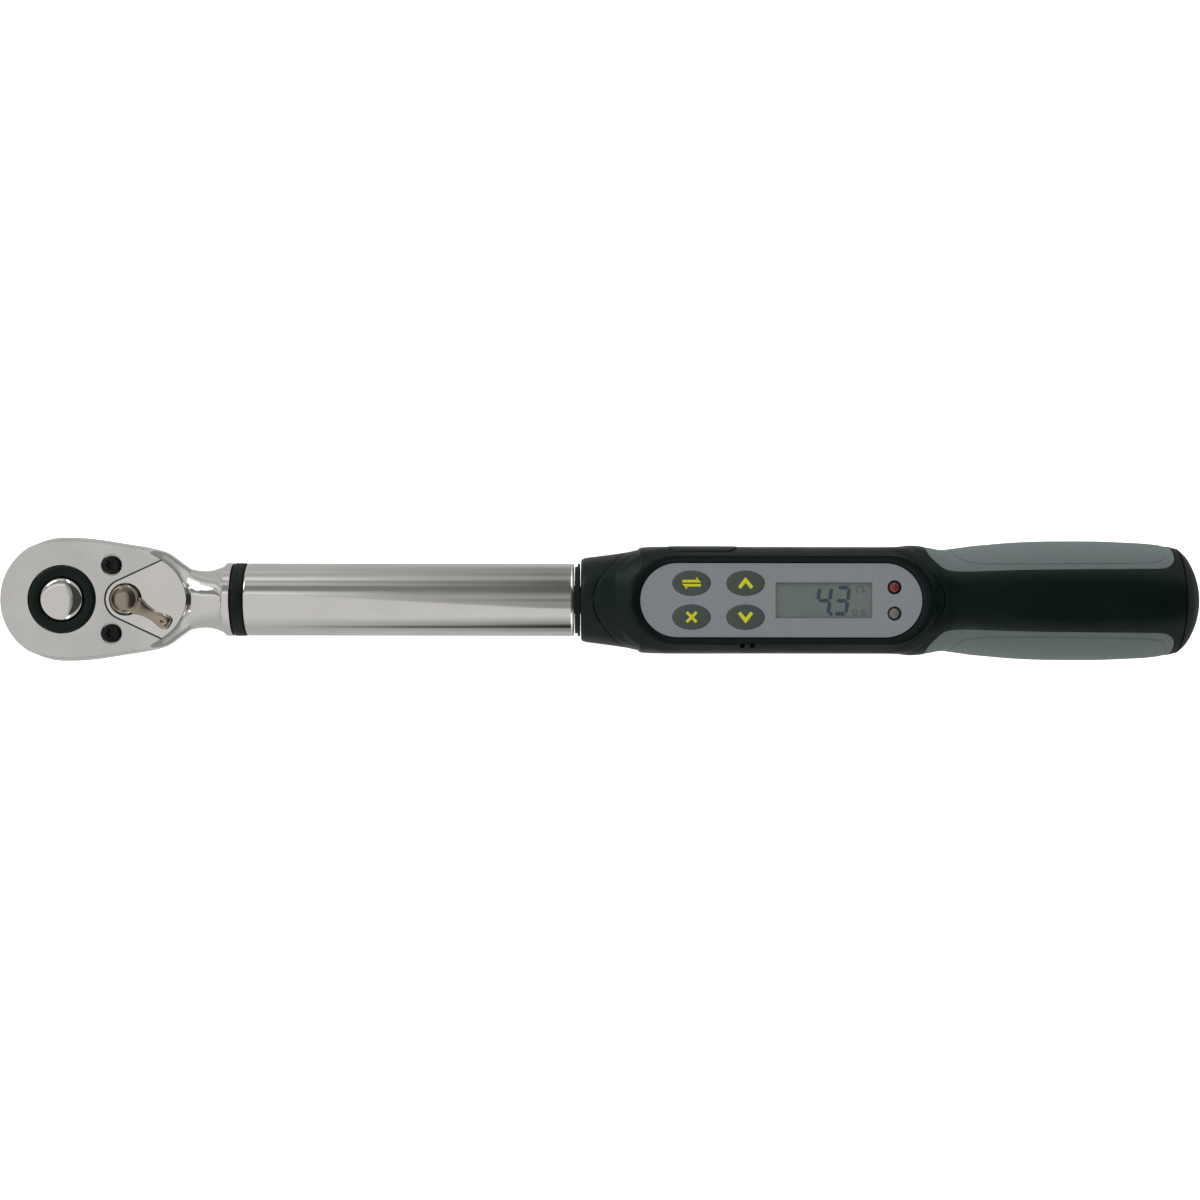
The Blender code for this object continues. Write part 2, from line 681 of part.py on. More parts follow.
def reverse_lever():
    top = HEAD_TOP + 1.9
    profile = [(0, top - 0.1), (3.6, top - 0.35), (4.1, top), (LEVER_BOSS_RADIUS, top - 0.6),
               (LEVER_BOSS_RADIUS, HEAD_TOP - 0.7), (LEVER_SHAFT_RADIUS, HEAD_TOP - 0.7),
               (LEVER_SHAFT_RADIUS, HEAD_FLOOR - 0.6), (0, HEAD_FLOOR - 0.6)]
    lever = turned("reverse_lever", profile, bronze(), (PIVOT_X, 0, 0), "Z", 24)
    turn = math.radians(LEVER_ANGLE)
    outline = [(PIVOT_X + x * math.cos(turn) - y * math.sin(turn), x * math.sin(turn) + y * math.cos(turn))
               for x, y in lever_outline()]
    join(lever, plate("lever_arm", [outline], HEAD_TOP + 0.35, top - 0.4))
    hole = rod("plunger_hole", 1.2, -3.6, -0.6, None, (PIVOT_X, 0, AXIS_Z), "X", 16)
    cut(lever, hole)
    return lever


def lever_plunger():
    plunger = rod("lever_plunger", 0.9, -3.3, -1.9, steel(), (PIVOT_X, 0, AXIS_Z), "X", 16)
    spring = wire("plunger_spring", [(x, y, z) for y, z, x in helix(0.55, -1.6, -0.85, 2)], 0.12, steel(),
                  (PIVOT_X, 0, AXIS_Z))
    return plunger, spring


# ---------------------------------------------------------------- tube and beam

def tube_group():
    axis = (0, 0, AXIS_Z)
    ring("front_seal_ring", 12.1, SPIGOT_RADIUS + GAP, COLLAR_END_X + GAP, TUBE_START_X - GAP, rubber(),
         axis, "X", 40)
    profile = [(TUBE_RADIUS - 0.4, TUBE_END_X), (TUBE_RADIUS, TUBE_END_X - 0.4),
               (TUBE_RADIUS, TUBE_START_X + 0.4), (TUBE_RADIUS - 0.4, TUBE_START_X),
               (TUBE_BORE, TUBE_START_X), (TUBE_BORE, TUBE_END_X)]
    turned("outer_tube", profile, chrome(), axis, "X", 36, True)
    step_x = TUBE_END_X + 0.9
    profile = [(12.1, HANDLE_FRONT_X - GAP), (12.1, step_x), (11.1, step_x), (11.1, TUBE_END_X + GAP),
               (9.0, TUBE_END_X + GAP), (9.0, HANDLE_FRONT_X - GAP)]
    turned("rear_seal", profile, rubber(), axis, "X", 32, True)


def load_beam():
    bar = box("load_beam", (BEAM_START_X, -BEAM_HALF_WIDTH, AXIS_Z - BEAM_HALF_HEIGHT),
              (BEAM_END_X - 14, BEAM_HALF_WIDTH, AXIS_Z + BEAM_HALF_HEIGHT), steel())
    end = rod("beam_end", BEAM_END_RADIUS, HANDLE_FRONT_X + 0.6, BEAM_END_X, None, (0, 0, AXIS_Z), "X", 32)
    join(bar, end)
    cut(bar, rod("beam_pin_hole", 2.3, -12, 12, None, (HEAD_PIN_X, 0, AXIS_Z), "Y", 20))
    cut(bar, rod("beam_screw_hole", 2.3, -12, -2, None, (BEAM_SCREW_X, 0, AXIS_Z), "Z", 20))
    rod("head_pin", 2.0, -9.2, 9.2, steel(), (HEAD_PIN_X, 0, AXIS_Z), "Y", 20)
    profile = [(0, -4), (2.0, -4), (2.0, -13.0), (3.4, -13.0), (3.4, -15.0), (0, -15.0)]
    turned("beam_screw", profile, black_steel(), (BEAM_SCREW_X, 0, AXIS_Z), "Z", 20)


def gauges():
    for number, side in ((1, 1), (2, -1)):
        inner, outer = side * (BEAM_HALF_WIDTH + 0.2), side * (BEAM_HALF_WIDTH + 0.9)
        box(f"strain_gauge_{number}", (84, min(inner, outer), AXIS_Z - 3),
            (94, max(inner, outer), AXIS_Z + 3), bronze())
    route = [(95, 6.6, AXIS_Z), (104, 7.2, AXIS_Z + 0.5), (120, 7.4, AXIS_Z + 1.0), (136, 7.4, AXIS_Z + 1.2),
             (152, 7.2, AXIS_Z + 1.1), (167.6, 6.9, AXIS_Z + 1.0)]
    wire("gauge_cable", route, 0.8, rubber())


# ---------------------------------------------------------------- handle

def cover_region(grow):
    """Plan of the display cover, with a bowed edge at each end."""
    reach = 20.0
    front, rear = [], []
    steps = 12
    for i in range(steps + 1):
        y = reach * (1 - 2 * i / steps)
        front.append((COVER_FRONT_X - grow + FRONT_BOW * y * y, y))
        rear.append((COVER_REAR_X + grow - REAR_BOW * y * y, -y))
    return front + rear


def pad_region(side, grow):
    """Plan of a grip pad: a sharp corner at the front, nearly straight inside, round at the rear."""
    front, rear = PAD_START_X - grow, PAD_END_X + grow
    inner = smooth([(front, 17.6), (front + 0.7, 14.9)] + [(x, y - grow) for x, y in PAD_INNER_EDGE]
                   + [(rear - 2.7, 11.1 - grow), (rear - 0.7, 12.9), (rear, 15.2), (rear, 17.6)], 2)
    points = inner + [(rear, 24), (front, 24)]
    return [(x, side * y) for x, y in points]


def handle_body():
    body = handle_blank("handle_body", black_plastic())
    cut(body, plate("cover_room", [cover_region(GAP)], COVER_BASE - GAP, AXIS_Z + 25))
    cut(body, rod("beam_bore", BEAM_END_RADIUS + GAP, HANDLE_FRONT_X - 2, TRAY_START_X + 2, None,
                  (0, 0, AXIS_Z), "X", 32))
    cut(body, box("tray", (TRAY_START_X, -TRAY_HALF_WIDTH, TRAY_FLOOR),
                  (TRAY_END_X, TRAY_HALF_WIDTH, AXIS_Z + 25)))
    cut(body, rod("battery_bay", BAY_RADIUS, BAY_START_X, CAP_START_X + 3, None, (0, 0, AXIS_Z), "X", 40))
    cut(body, rod("wire_way", 2.2, TRAY_END_X - 2, BAY_START_X + 2, None, (0, 0, AXIS_Z - 6), "X", 16))
    for name, side in (("upper", 1), ("lower", -1)):
        recess = plate(f"pad_recess_{name}", [pad_region(side, GAP)], -5, AXIS_Z + 25)
        core = handle_skin(f"pad_core_{name}", PAD_DEPTH + GAP)
        cut(recess, core)
        cut(body, recess)
    for number, (x, y) in enumerate(CASE_SCREW_PLACES, 1):
        cut(body, stepped_way(f"case_screw_way_{number}", 1.8, 2.9, -11.5, (-21.3, 6), (x, y, AXIS_Z)))
    cut(body, stepped_way("beam_screw_way", 2.3, 3.8, -12.7, (-21.3, 0), (BEAM_SCREW_X, 0, AXIS_Z)))
    return body


def panel_well():
    """The cutter of the sunk panel: a straight seat with walls that lean outwards above it."""
    rings = []
    for grow, z in ((GAP, PANEL_FLOOR), (GAP + 0.2, PANEL_TOP), (1.8, AXIS_Z + 17.7), (1.8, AXIS_Z + 25)):
        outline = stadium(PANEL_START_X - grow, PANEL_END_X + grow, PANEL_HALF_WIDTH + grow)
        rings.append([(x, y, z) for x, y in outline])
    return loft("panel_well", rings)


def display_cover():
    cover = handle_blank("display_cover", black_plastic())
    keep_common(cover, plate("cover_plan", [cover_region(0)], COVER_BASE, AXIS_Z + 25))
    cut(cover, box("cover_room_inside", (TRAY_START_X, -TRAY_HALF_WIDTH, AXIS_Z - 5),
                   (TRAY_END_X, TRAY_HALF_WIDTH, ROOF_UNDERSIDE)))
    cut(cover, rod("cover_beam_way", BEAM_END_RADIUS + GAP, HANDLE_FRONT_X, TRAY_START_X + 2, None,
                   (0, 0, AXIS_Z), "X", 32))
    cut(cover, panel_well())
    cut(cover, box("module_way", (WINDOW_X - MODULE_HALF[0] - GAP, -MODULE_HALF[1] - GAP, AXIS_Z + 8),
                   (WINDOW_X + MODULE_HALF[0] + GAP, MODULE_HALF[1] + GAP, AXIS_Z + 20)))
    for number, (x, y) in enumerate(key_places(), 1):
        cut(cover, rod(f"key_way_{number}", KEY_STEM_RADIUS + GAP, 8, 20, None, (x, y, AXIS_Z), "Z", 16))
    for name, side in (("red", 1), ("clear", -1)):
        cut(cover, rod(f"light_way_{name}", LIGHT_RADIUS + GAP, 8, 20, None,
                       (LIGHT_X, side * LIGHT_Y, AXIS_Z), "Z", 20))
    for number, (x, y) in enumerate(CASE_SCREW_PLACES, 1):
        cut(cover, rod(f"boss_hole_{number}", 1.5, -2, 8, None, (x, y, AXIS_Z), "Z", 16))
    cut(cover, side_slab("port_pocket", port_outline(0), PORT_FLOOR_Y, 22.0))
    middle = (PORT_X[0] + PORT_X[1]) / 2
    cut(cover, box("jack_pocket", (middle - 4.8, PORT_FLOOR_Y - 1.8, JACK_HEIGHT - 2.2),
                   (middle + 4.8, PORT_FLOOR_Y + 1, JACK_HEIGHT + 2.2)))
    for number, x in enumerate(SOUND_SLOT_X, 1):
        for name, inner_y, bottom, top in (("duct", -10.0, 11.2, 12.6), ("slot", -14.3, 11.9, 20.0)):
            cut(cover, box(f"sound_{name}_{number}", (x - 0.65, -15.5, AXIS_Z + bottom),
                           (x + 0.65, inner_y, AXIS_Z + top)))
    return cover


def case_screws():
    for number, (x, y) in enumerate(CASE_SCREW_PLACES, 1):
        profile = [(0, 7.4), (1.2, 7.4), (1.2, -11.2), (1.5, -11.8), (2.7, -11.8), (2.7, -13.6), (0, -13.6)]
        turned(f"case_screw_{number}", profile, black_steel(), (x, y, AXIS_Z), "Z", 12)


def key_places():
    return [(x, side * KEY_ROW) for x in KEY_COLUMNS for side in (1, -1)]


KEY_NAMES = ("key_units", "key_clear", "key_up", "key_down")


def panel_group():
    outlines = [stadium(PANEL_START_X, PANEL_END_X, PANEL_HALF_WIDTH)]
    outlines += [ellipse(x, y, KEY_HALF[0] + GAP, KEY_HALF[1] + GAP) for x, y in key_places()]
    outlines.append(rectangle(WINDOW_X, 0, WINDOW_HALF[0] + GAP, WINDOW_HALF[1] + GAP))
    outlines += [circle(LIGHT_X, side * LIGHT_Y, LIGHT_RADIUS + GAP, 20) for side in (1, -1)]
    plate("panel_overlay", outlines, PANEL_FLOOR + 0.1, PANEL_TOP, panel_grey())
    for name, (x, y) in zip(KEY_NAMES, key_places()):
        key = plate(name, [ellipse(x, y, *KEY_HALF)], PANEL_TOP - 0.35, PANEL_TOP + 0.15, key_green(), (x, y))
        join(key, rod(f"{name}_stem", KEY_STEM_RADIUS, SWITCH_TOP + KEY_TRAVEL + 0.1, PANEL_TOP, None,
                      (x, y, 0), "Z", 16))
        rod(name.replace("key", "switch"), 2.6, BOARD_TOP + 0.1, SWITCH_TOP, steel(), (x, y, 0), "Z", 16)
    box("lcd_window", (WINDOW_X - WINDOW_HALF[0], -WINDOW_HALF[1], PANEL_TOP - 0.6),
        (WINDOW_X + WINDOW_HALF[0], WINDOW_HALF[1], PANEL_TOP - 0.1), clear_plastic())
    box("lcd_module", (WINDOW_X - MODULE_HALF[0], -MODULE_HALF[1], BOARD_TOP + 0.1),
        (WINDOW_X + MODULE_HALF[0], MODULE_HALF[1], PANEL_FLOOR - 0.2), clear_plastic())
    for name, side in (("red_light", 1), ("clear_light", -1)):
        dome = [(LIGHT_RADIUS * math.sin(math.radians(a)), PANEL_TOP - LIGHT_RADIUS * 0.6
                 * (1 - math.cos(math.radians(a)))) for a in range(0, 91, 18)]
        profile = dome + [(LIGHT_RADIUS, BOARD_TOP + 0.1), (0, BOARD_TOP + 0.1)]
        turned(name, profile, clear_plastic(), (LIGHT_X, side * LIGHT_Y, 0), "Z", 20)
    box("circuit_board", (TRAY_START_X + 4, -TRAY_HALF_WIDTH + GAP, BOARD_BOTTOM),
        (TRAY_END_X - 2, TRAY_HALF_WIDTH - GAP, BOARD_TOP), board_green())
    rod("buzzer", 5.8, BOARD_BOTTOM - 4.0, BOARD_BOTTOM - GAP, black_plastic(), (224.5, -4.0, 0), "Z", 24)


def port_outline(inset):
    """The port's outline in x and z, with half round ends."""
    flat = stadium(PORT_X[0] + inset, PORT_X[1] - inset, PORT_HALF_HEIGHT - inset, 9)
    return [(x, PORT_HEIGHT + z) for x, z in flat]


def side_slab(name, outline, inner_y, outer_y, mat=None, origin=(0, 0, 0)):
    """A slab along Y between two faces, from an outline in x and z."""
    rings = [[(x - origin[0], y - origin[1], z - origin[2]) for x, z in outline] for y in (inner_y, outer_y)]
    slab = loft(name, rings, mat)
    slab.location = [value * MM for value in origin]
    return slab


def port_group():
    middle = (PORT_X[0] + PORT_X[1]) / 2
    inner = PORT_FLOOR_Y - 1.5
    box("comm_jack", (middle - 4.5, inner, JACK_HEIGHT - 1.9), (middle + 4.5, inner + 1.2, JACK_HEIGHT + 1.9),
        steel())
    hinge = (middle, HINGE_Y, PORT_HEIGHT - PORT_HALF_HEIGHT + GAP)
    flap = side_slab("port_cover", port_outline(GAP), PORT_FLOOR_Y + GAP, 22.0, rubber(), hinge)
    keep_common(flap, handle_blank("port_cover_face"))


def grip_pads():
    for name, side in (("grip_pad_upper", 1), ("grip_pad_lower", -1)):
        pad = handle_skin(name, mat=grip_rubber())
        keep_common(pad, plate(f"{name}_plan", [pad_region(side, 0)], -5, AXIS_Z + 25))
        cut(pad, handle_skin(f"{name}_core", PAD_DEPTH))


def batteries():
    for number, side in ((1, 1), (2, -1)):
        end = CELL_START_X + CELL_LENGTH
        shoulder = end - 1.2 if side > 0 else end
        profile = [(0, end), (2.6, end), (2.6, shoulder), (CELL_RADIUS, shoulder - 0.01),
                   (CELL_RADIUS, CELL_START_X), (0, CELL_START_X)]
        if side < 0:
            profile = [(0, end), (CELL_RADIUS, end), (CELL_RADIUS, CELL_START_X + 1.2),
                       (2.6, CELL_START_X + 1.19), (2.6, CELL_START_X), (0, CELL_START_X)]
        turned(f"battery_{number}", profile, steel(), (0, side * CELL_Y, AXIS_Z), "X", 28)
    outline = rod("battery_carrier", BAY_RADIUS - 0.4, BAY_START_X + 1, CAP_START_X - 6.5, black_plastic(),
                  (0, 0, AXIS_Z), "X", 36)
    for number, side in ((1, 1), (2, -1)):
        cut(outline, rod(f"cell_room_{number}", CELL_RADIUS + GAP, BAY_START_X + 3.2, CAP_START_X, None,
                         (0, side * CELL_Y, AXIS_Z), "X", 28))
    cut(outline, box("carrier_top_open", (BAY_START_X + 3.2, -BAY_RADIUS, AXIS_Z + 1.5),
                     (CAP_START_X, BAY_RADIUS, AXIS_Z + 20)))
    for number, side in ((1, 1), (2, -1)):
        y = side * CELL_Y
        box(f"front_contact_{number}", (BAY_START_X + 3.5, y - 4, AXIS_Z - 4),
            (BAY_START_X + 4.1, y + 4, AXIS_Z + 1.2), steel())
        coil = [(x, y_, z) for y_, z, x in helix(2.4, 1.0, 5.6, 2.5, 10)]
        wire(f"contact_spring_{number}", coil, 0.3, steel(), (CELL_START_X - 7.2 + CELL_LENGTH + 7.0, y, AXIS_Z))


def battery_cap():
    axis = (CAP_START_X, 0, AXIS_Z)
    end = CAP_END_X - CAP_START_X
    curve = [(0, end), (4.8, end - 0.2), (9.9, end - 1.4), (14.0, end - 3.5), (16.2, end - 5.7),
             (CAP_RADIUS, end - 7.8)]
    spigot = BAY_RADIUS - 0.5
    groove = spigot - 1.3
    profile = curve + [(CAP_RADIUS, 0), (spigot, 0), (spigot, -1.2), (groove, -1.2), (groove, -3.0),
                       (spigot, -3.0), (spigot, -SPIGOT_LENGTH), (13.0, -SPIGOT_LENGTH), (13.0, 1.0), (0, 1.0)]
    cap = turned("battery_cap", profile, black_plastic(), axis, "X", 28)
    cut(cap, box("coin_slot", (CAP_END_X - 1.6, -7.5, AXIS_Z - 1.1), (CAP_END_X + 2, 7.5, AXIS_Z + 1.1)))
    ring("cap_o_ring", BAY_RADIUS - 0.1, groove + 0.1, -2.8, -1.4, rubber(), axis, "X", 28)


def main():
    clear_scene()
    ratchet_head()
    cover_plate()
    cover_screws()
    drive_gear()
    dust_ring()
    release_button()
    release_spring()
    detent_ball()
    pawl()
    reverse_lever()
    lever_plunger()
    tube_group()
    load_beam()
    gauges()
    handle_body()
    display_cover()
    case_screws()
    panel_group()
    port_group()
    grip_pads()
    batteries()
    battery_cap()


main()
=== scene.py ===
import json
import math

import bmesh
import bpy
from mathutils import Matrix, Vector


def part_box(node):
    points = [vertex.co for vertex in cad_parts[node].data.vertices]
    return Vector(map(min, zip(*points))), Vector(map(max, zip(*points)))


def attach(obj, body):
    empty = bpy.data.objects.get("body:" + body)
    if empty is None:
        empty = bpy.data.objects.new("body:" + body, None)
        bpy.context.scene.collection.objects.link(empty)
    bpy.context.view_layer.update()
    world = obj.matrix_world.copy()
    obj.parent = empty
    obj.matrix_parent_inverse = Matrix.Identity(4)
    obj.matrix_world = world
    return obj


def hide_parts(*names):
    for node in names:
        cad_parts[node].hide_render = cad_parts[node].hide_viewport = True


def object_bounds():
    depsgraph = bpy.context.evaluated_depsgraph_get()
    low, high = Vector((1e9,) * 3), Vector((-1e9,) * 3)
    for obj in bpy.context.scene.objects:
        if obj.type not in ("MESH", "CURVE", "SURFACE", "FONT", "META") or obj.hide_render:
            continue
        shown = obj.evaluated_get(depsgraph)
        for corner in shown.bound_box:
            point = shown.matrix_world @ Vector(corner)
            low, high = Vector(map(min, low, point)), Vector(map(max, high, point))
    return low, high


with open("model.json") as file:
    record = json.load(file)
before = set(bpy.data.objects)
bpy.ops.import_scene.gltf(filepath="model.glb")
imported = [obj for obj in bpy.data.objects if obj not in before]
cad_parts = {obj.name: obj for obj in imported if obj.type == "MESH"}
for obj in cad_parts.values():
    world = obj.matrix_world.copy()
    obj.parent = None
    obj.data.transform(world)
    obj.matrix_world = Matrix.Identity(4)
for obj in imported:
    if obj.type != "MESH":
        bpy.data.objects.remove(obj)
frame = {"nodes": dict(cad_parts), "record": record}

CAD_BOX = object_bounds()

# Sizes are in millimetres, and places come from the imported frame.
MM = 0.001


def low(node):
    """A CAD node's lowest corner, in millimetres."""
    return [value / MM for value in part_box(node)[0]]


def high(node):
    """A CAD node's highest corner, in millimetres."""
    return [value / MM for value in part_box(node)[1]]


def middle(node):
    return [(a + b) / 2 for a, b in zip(low(node), high(node))]


def ends(node):
    """A CAD node's start and end along the wrench, and its furthest reach to the side."""
    return low(node)[0], high(node)[0], high(node)[1]


AXIS_Z = middle("outer_tube")[2]
HEAD_TOP = high("cover_plate")[2]
HEAD_BOTTOM = 2 * AXIS_Z - HEAD_TOP
HEAD_RADIUS = -low("ratchet_head")[0]
PIVOT_X = middle("pawl")[0] + 3.2
GAP = 0.3
ABOVE = AXIS_Z + 25
BEAM_WAY_RADIUS = 8.3
TRAY_START_X, TRAY_END_X, TRAY_HALF_WIDTH = 190, 281.5, 10.3
KEY_HALF_X, KEY_HALF_Y = 6.15, 4.0
WINDOW_HALF_X, WINDOW_HALF_Y = 15.55, 5.7
DRIVE_SQUARE = 9.53
KEY_BODIES = {"key_units": "units_key", "key_clear": "clear_key", "key_up": "up_key", "key_down": "down_key"}
LIGHTS = {"red_light": "red_lens", "clear_light": "clear_lens"}
COVER_SCREWS = ("cover_screw_1", "cover_screw_2")


# -------- material nodes

def new_material(name, colour, roughness, metallic=0.0):
    mat = bpy.data.materials.new(name)
    mat.use_nodes = True
    shader = mat.node_tree.nodes["Principled BSDF"]
    shader.inputs["Base Color"].default_value = (*colour, 1.0)
    shader.inputs["Roughness"].default_value = roughness
    shader.inputs["Metallic"].default_value = metallic
    return mat, shader


def add_node(mat, kind, values=None):
    """A new node, with the starting values of its sockets."""
    node = mat.node_tree.nodes.new(kind)
    for name, value in (values or {}).items():
        node.inputs[name].default_value = value
    return node


def link(mat, output, target):
    mat.node_tree.links.new(output, target)


def noise(mat, scale, detail=3.0, stretch=(1.0, 1.0, 1.0)):
    """Noise in object space: scale is in features for each metre, stretched along the axes."""
    place = add_node(mat, "ShaderNodeTexCoord")
    mapping = add_node(mat, "ShaderNodeMapping", {"Scale": stretch})
    texture = add_node(mat, "ShaderNodeTexNoise", {"Scale": scale, "Detail": detail})
    link(mat, place.outputs["Object"], mapping.inputs["Vector"])
    link(mat, mapping.outputs["Vector"], texture.inputs["Vector"])
    return texture.outputs["Fac"]


def fill_ramp(node, stops):
    """Set a colour ramp's elements: the ends first, and then those between them."""
    elements = node.color_ramp.elements
    elements[0].position, elements[0].color = stops[0]
    elements[1].position, elements[1].color = stops[-1]
    for position, colour in stops[1:-1]:
        elements.new(position).color = colour


def ramp(mat, source, stops):
    """Map a value to greys or colours: stops are (position, colour)."""
    node = add_node(mat, "ShaderNodeValToRGB")
    fill_ramp(node, [(position, (*colour, 1.0)) for position, colour in stops])
    link(mat, source, node.inputs["Fac"])
    return node.outputs["Color"]


def between(mat, source, first, second):
    """Map noise to a number between two values."""
    node = add_node(mat, "ShaderNodeMapRange",
                    {"From Min": 0.3, "From Max": 0.7, "To Min": first, "To Max": second})
    link(mat, source, node.inputs["Value"])
    return node.outputs["Result"]


def bump(mat, shader, heights, distance=0.00005):
    """Chain bumps: heights are (noise output, strength)."""
    normal = None
    for source, strength in heights:
        node = add_node(mat, "ShaderNodeBump", {"Strength": strength, "Distance": distance})
        link(mat, source, node.inputs["Height"])
        if normal is not None:
            link(mat, normal, node.inputs["Normal"])
        normal = node.outputs["Normal"]
    link(mat, normal, shader.inputs["Normal"])


def tinted(mat, shader, source, dark, light):
    """Vary the base colour between two tints with a noise."""
    colour = ramp(mat, source, [(0.3, dark), (0.7, light)])
    link(mat, colour, shader.inputs["Base Color"])


def shade(colour, factor):
    return tuple(min(1.0, channel * factor) for channel in colour)


def metal(name, colour, rough_low, rough_high, grain=(1.0, 1.0, 1.0), grain_strength=0.05, spread=0.06):
    """Bare or plated metal: faint cloudy tone, uneven polish and fine lines along one direction."""
    mat, shader = new_material(name, colour, rough_low, 1.0)
    tinted(mat, shader, noise(mat, 60.0, 4.0), shade(colour, 1 - spread), shade(colour, 1 + spread))
    link(mat, between(mat, noise(mat, 220.0, 5.0), rough_low, rough_high), shader.inputs["Roughness"])
    bump(mat, shader, [(noise(mat, 2600.0, 2.0, grain), grain_strength),
                       (noise(mat, 90.0, 1.0), grain_strength * 0.6)], 0.00002)
    return mat


def moulded(name, colour, roughness, grain_scale, grain_strength, spread=0.12, shine=0.5):
    """Moulded plastic or rubber with a fine spark-eroded grain."""
    mat, shader = new_material(name, colour, roughness)
    shader.inputs["Specular IOR Level"].default_value = shine
    cloud = noise(mat, grain_scale * 0.6, 3.0)
    tinted(mat, shader, cloud, shade(colour, 1 - spread), shade(colour, 1 + spread))
    link(mat, between(mat, noise(mat, 150.0, 3.0), roughness - 0.05, roughness + 0.07),
         shader.inputs["Roughness"])
    bump(mat, shader, [(noise(mat, grain_scale, 2.0), grain_strength),
                       (noise(mat, 60.0, 1.0), grain_strength * 0.3)], 0.00004)
    return mat


# Colour, lowest and highest roughness, grain direction, grain strength, spread of the tone
METALS = {
    "chrome": ((0.74, 0.73, 0.71), 0.03, 0.07, (0.15, 1, 1), 0.03, 0.03),
    "satin_chrome": ((0.655, 0.65, 0.645), 0.10, 0.17, (1, 0.25, 1), 0.07, 0.07),
    "steel": ((0.45, 0.45, 0.46), 0.28, 0.4, (1, 1, 0.2), 0.15),
    "spring_steel": ((0.55, 0.55, 0.56), 0.2, 0.3),
    "black_steel": ((0.026, 0.028, 0.027), 0.30, 0.42, (1, 1, 1), 0.2, 0.2),
    "bronze": ((0.38, 0.33, 0.27), 0.16, 0.26, (1, 1, 1), 0.12, 0.12)}
# Colour, roughness, grain scale, grain strength, spread of the tone, shine
MOULDINGS = {
    "black_ring": ((0.0028, 0.0048, 0.0034), 0.42, 2600.0, 0.10, 0.1, 0.25),
    # The seal rubber finish also colours two pieces of painted shade: the strip in the V gap and the ring
    # round the lever boss.
    "seal_rubber": ((0.004, 0.0055, 0.005), 0.5, 2200.0, 0.12, 0.1, 0.25),
    "port_rubber": ((0.007, 0.009, 0.0088), 0.42, 2400.0, 0.15, 0.1, 0.35),
    "housing": ((0.0008, 0.0042, 0.0040), 0.38, 3000.0, 0.30, 0.2, 0.28),
    "grip": ((0.108, 0.140, 0.139), 0.62, 2600.0, 0.25, 0.08, 0.3),
    "panel": ((0.226, 0.244, 0.264), 0.42, 3600.0, 0.10, 0.07),
    "key": ((0.050, 0.068, 0.060), 0.40, 3600.0, 0.10, 0.08),
    "legend": ((0.62, 0.60, 0.012), 0.5, 3600.0, 0.06, 0.05),
    "lcd": ((0.110, 0.143, 0.137), 0.25, 4200.0, 0.03, 0.05),
    "digits": ((0.004, 0.012, 0.050), 0.3, 3600.0, 0.03, 0.08, 0.1),
    "faint_digits": ((0.045, 0.065, 0.075), 0.3, 3600.0, 0.03, 0.08, 0.1),
    "board": ((0.02, 0.12, 0.05), 0.4, 1800.0, 0.2),
    "gauge_film": ((0.45, 0.26, 0.08), 0.3, 3000.0, 0.1),
    "cell_wrap": ((0.07, 0.16, 0.10), 0.25, 400.0, 0.05)}
LENSES = {"red_lens": (0.145, 0.019, 0.026), "clear_lens": (0.14, 0.138, 0.122)}
GREENISH_BLACKS = ("black_ring", "seal_rubber", "port_rubber", "housing")
MATERIALS = {}


def make_materials():
    """One procedural material for each finish."""
    for make, rows in ((metal, METALS), (moulded, MOULDINGS)):
        for name, values in rows.items():
            MATERIALS[name] = make(name, *values)
    for name, colour in LENSES.items():
        MATERIALS[name] = lens(name, colour)
    MATERIALS["window"] = window_sheet()
    for name in GREENISH_BLACKS:
        shader = MATERIALS[name].node_tree.nodes["Principled BSDF"]
        shader.inputs["Specular Tint"].default_value = (0.78, 1.0, 0.95, 1.0)


def lens(name, colour):
    mat, shader = new_material(name, colour, 0.18)
    tinted(mat, shader, noise(mat, 900.0, 3.0), shade(colour, 0.8), shade(colour, 1.2))
    link(mat, between(mat, noise(mat, 700.0, 2.0), 0.14, 0.26), shader.inputs["Roughness"])
    shader.inputs["Coat Weight"].default_value = 0.5
    shader.inputs["Coat Roughness"].default_value = 0.08
    return mat


def window_sheet():
    """A thin clear sheet: mostly see-through, with gloss and faint smears."""
    mat, shader = new_material("window", (0.55, 0.6, 0.55), 0.08)
    shader.inputs["Alpha"].default_value = 0.05
    link(mat, between(mat, noise(mat, 120.0, 4.0), 0.05, 0.14), shader.inputs["Roughness"])
    return mat


# -------- mesh helpers

def as_object(name, mesh):
    obj = bpy.data.objects.new(name, mesh)
    bpy.context.scene.collection.objects.link(obj)
    return obj


def mesh_from(bm, name):
    bmesh.ops.recalc_face_normals(bm, faces=bm.faces)
    mesh = bpy.data.meshes.new(name)
    bm.to_mesh(mesh)
    bm.free()
    return mesh


def box(name, low_corner, high_corner):
    bm = bmesh.new()
    bmesh.ops.create_cube(bm, size=1.0)
    for vert in bm.verts:
        for axis in range(3):
            a, b = low_corner[axis], high_corner[axis]
            vert.co[axis] = ((a + b) / 2 + (b - a) * vert.co[axis]) * MM
    return as_object(name, mesh_from(bm, name))


def join_rows(bm, rows, closed):
    """Faces between each row of points and the next. A row may be a single point."""
    pairs = list(zip(rows, rows[1:]))
    if closed:
        pairs.append((rows[-1], rows[0]))
    for first, second in pairs:
        count = max(len(first), len(second))
        for i in range(count):
            j = (i + 1) % count
            if len(first) == 1:
                bm.faces.new((first[0], second[i], second[j]))
            elif len(second) == 1:
                bm.faces.new((first[i], first[j], second[0]))
            else:
                bm.faces.new((first[i], first[j], second[j], second[i]))


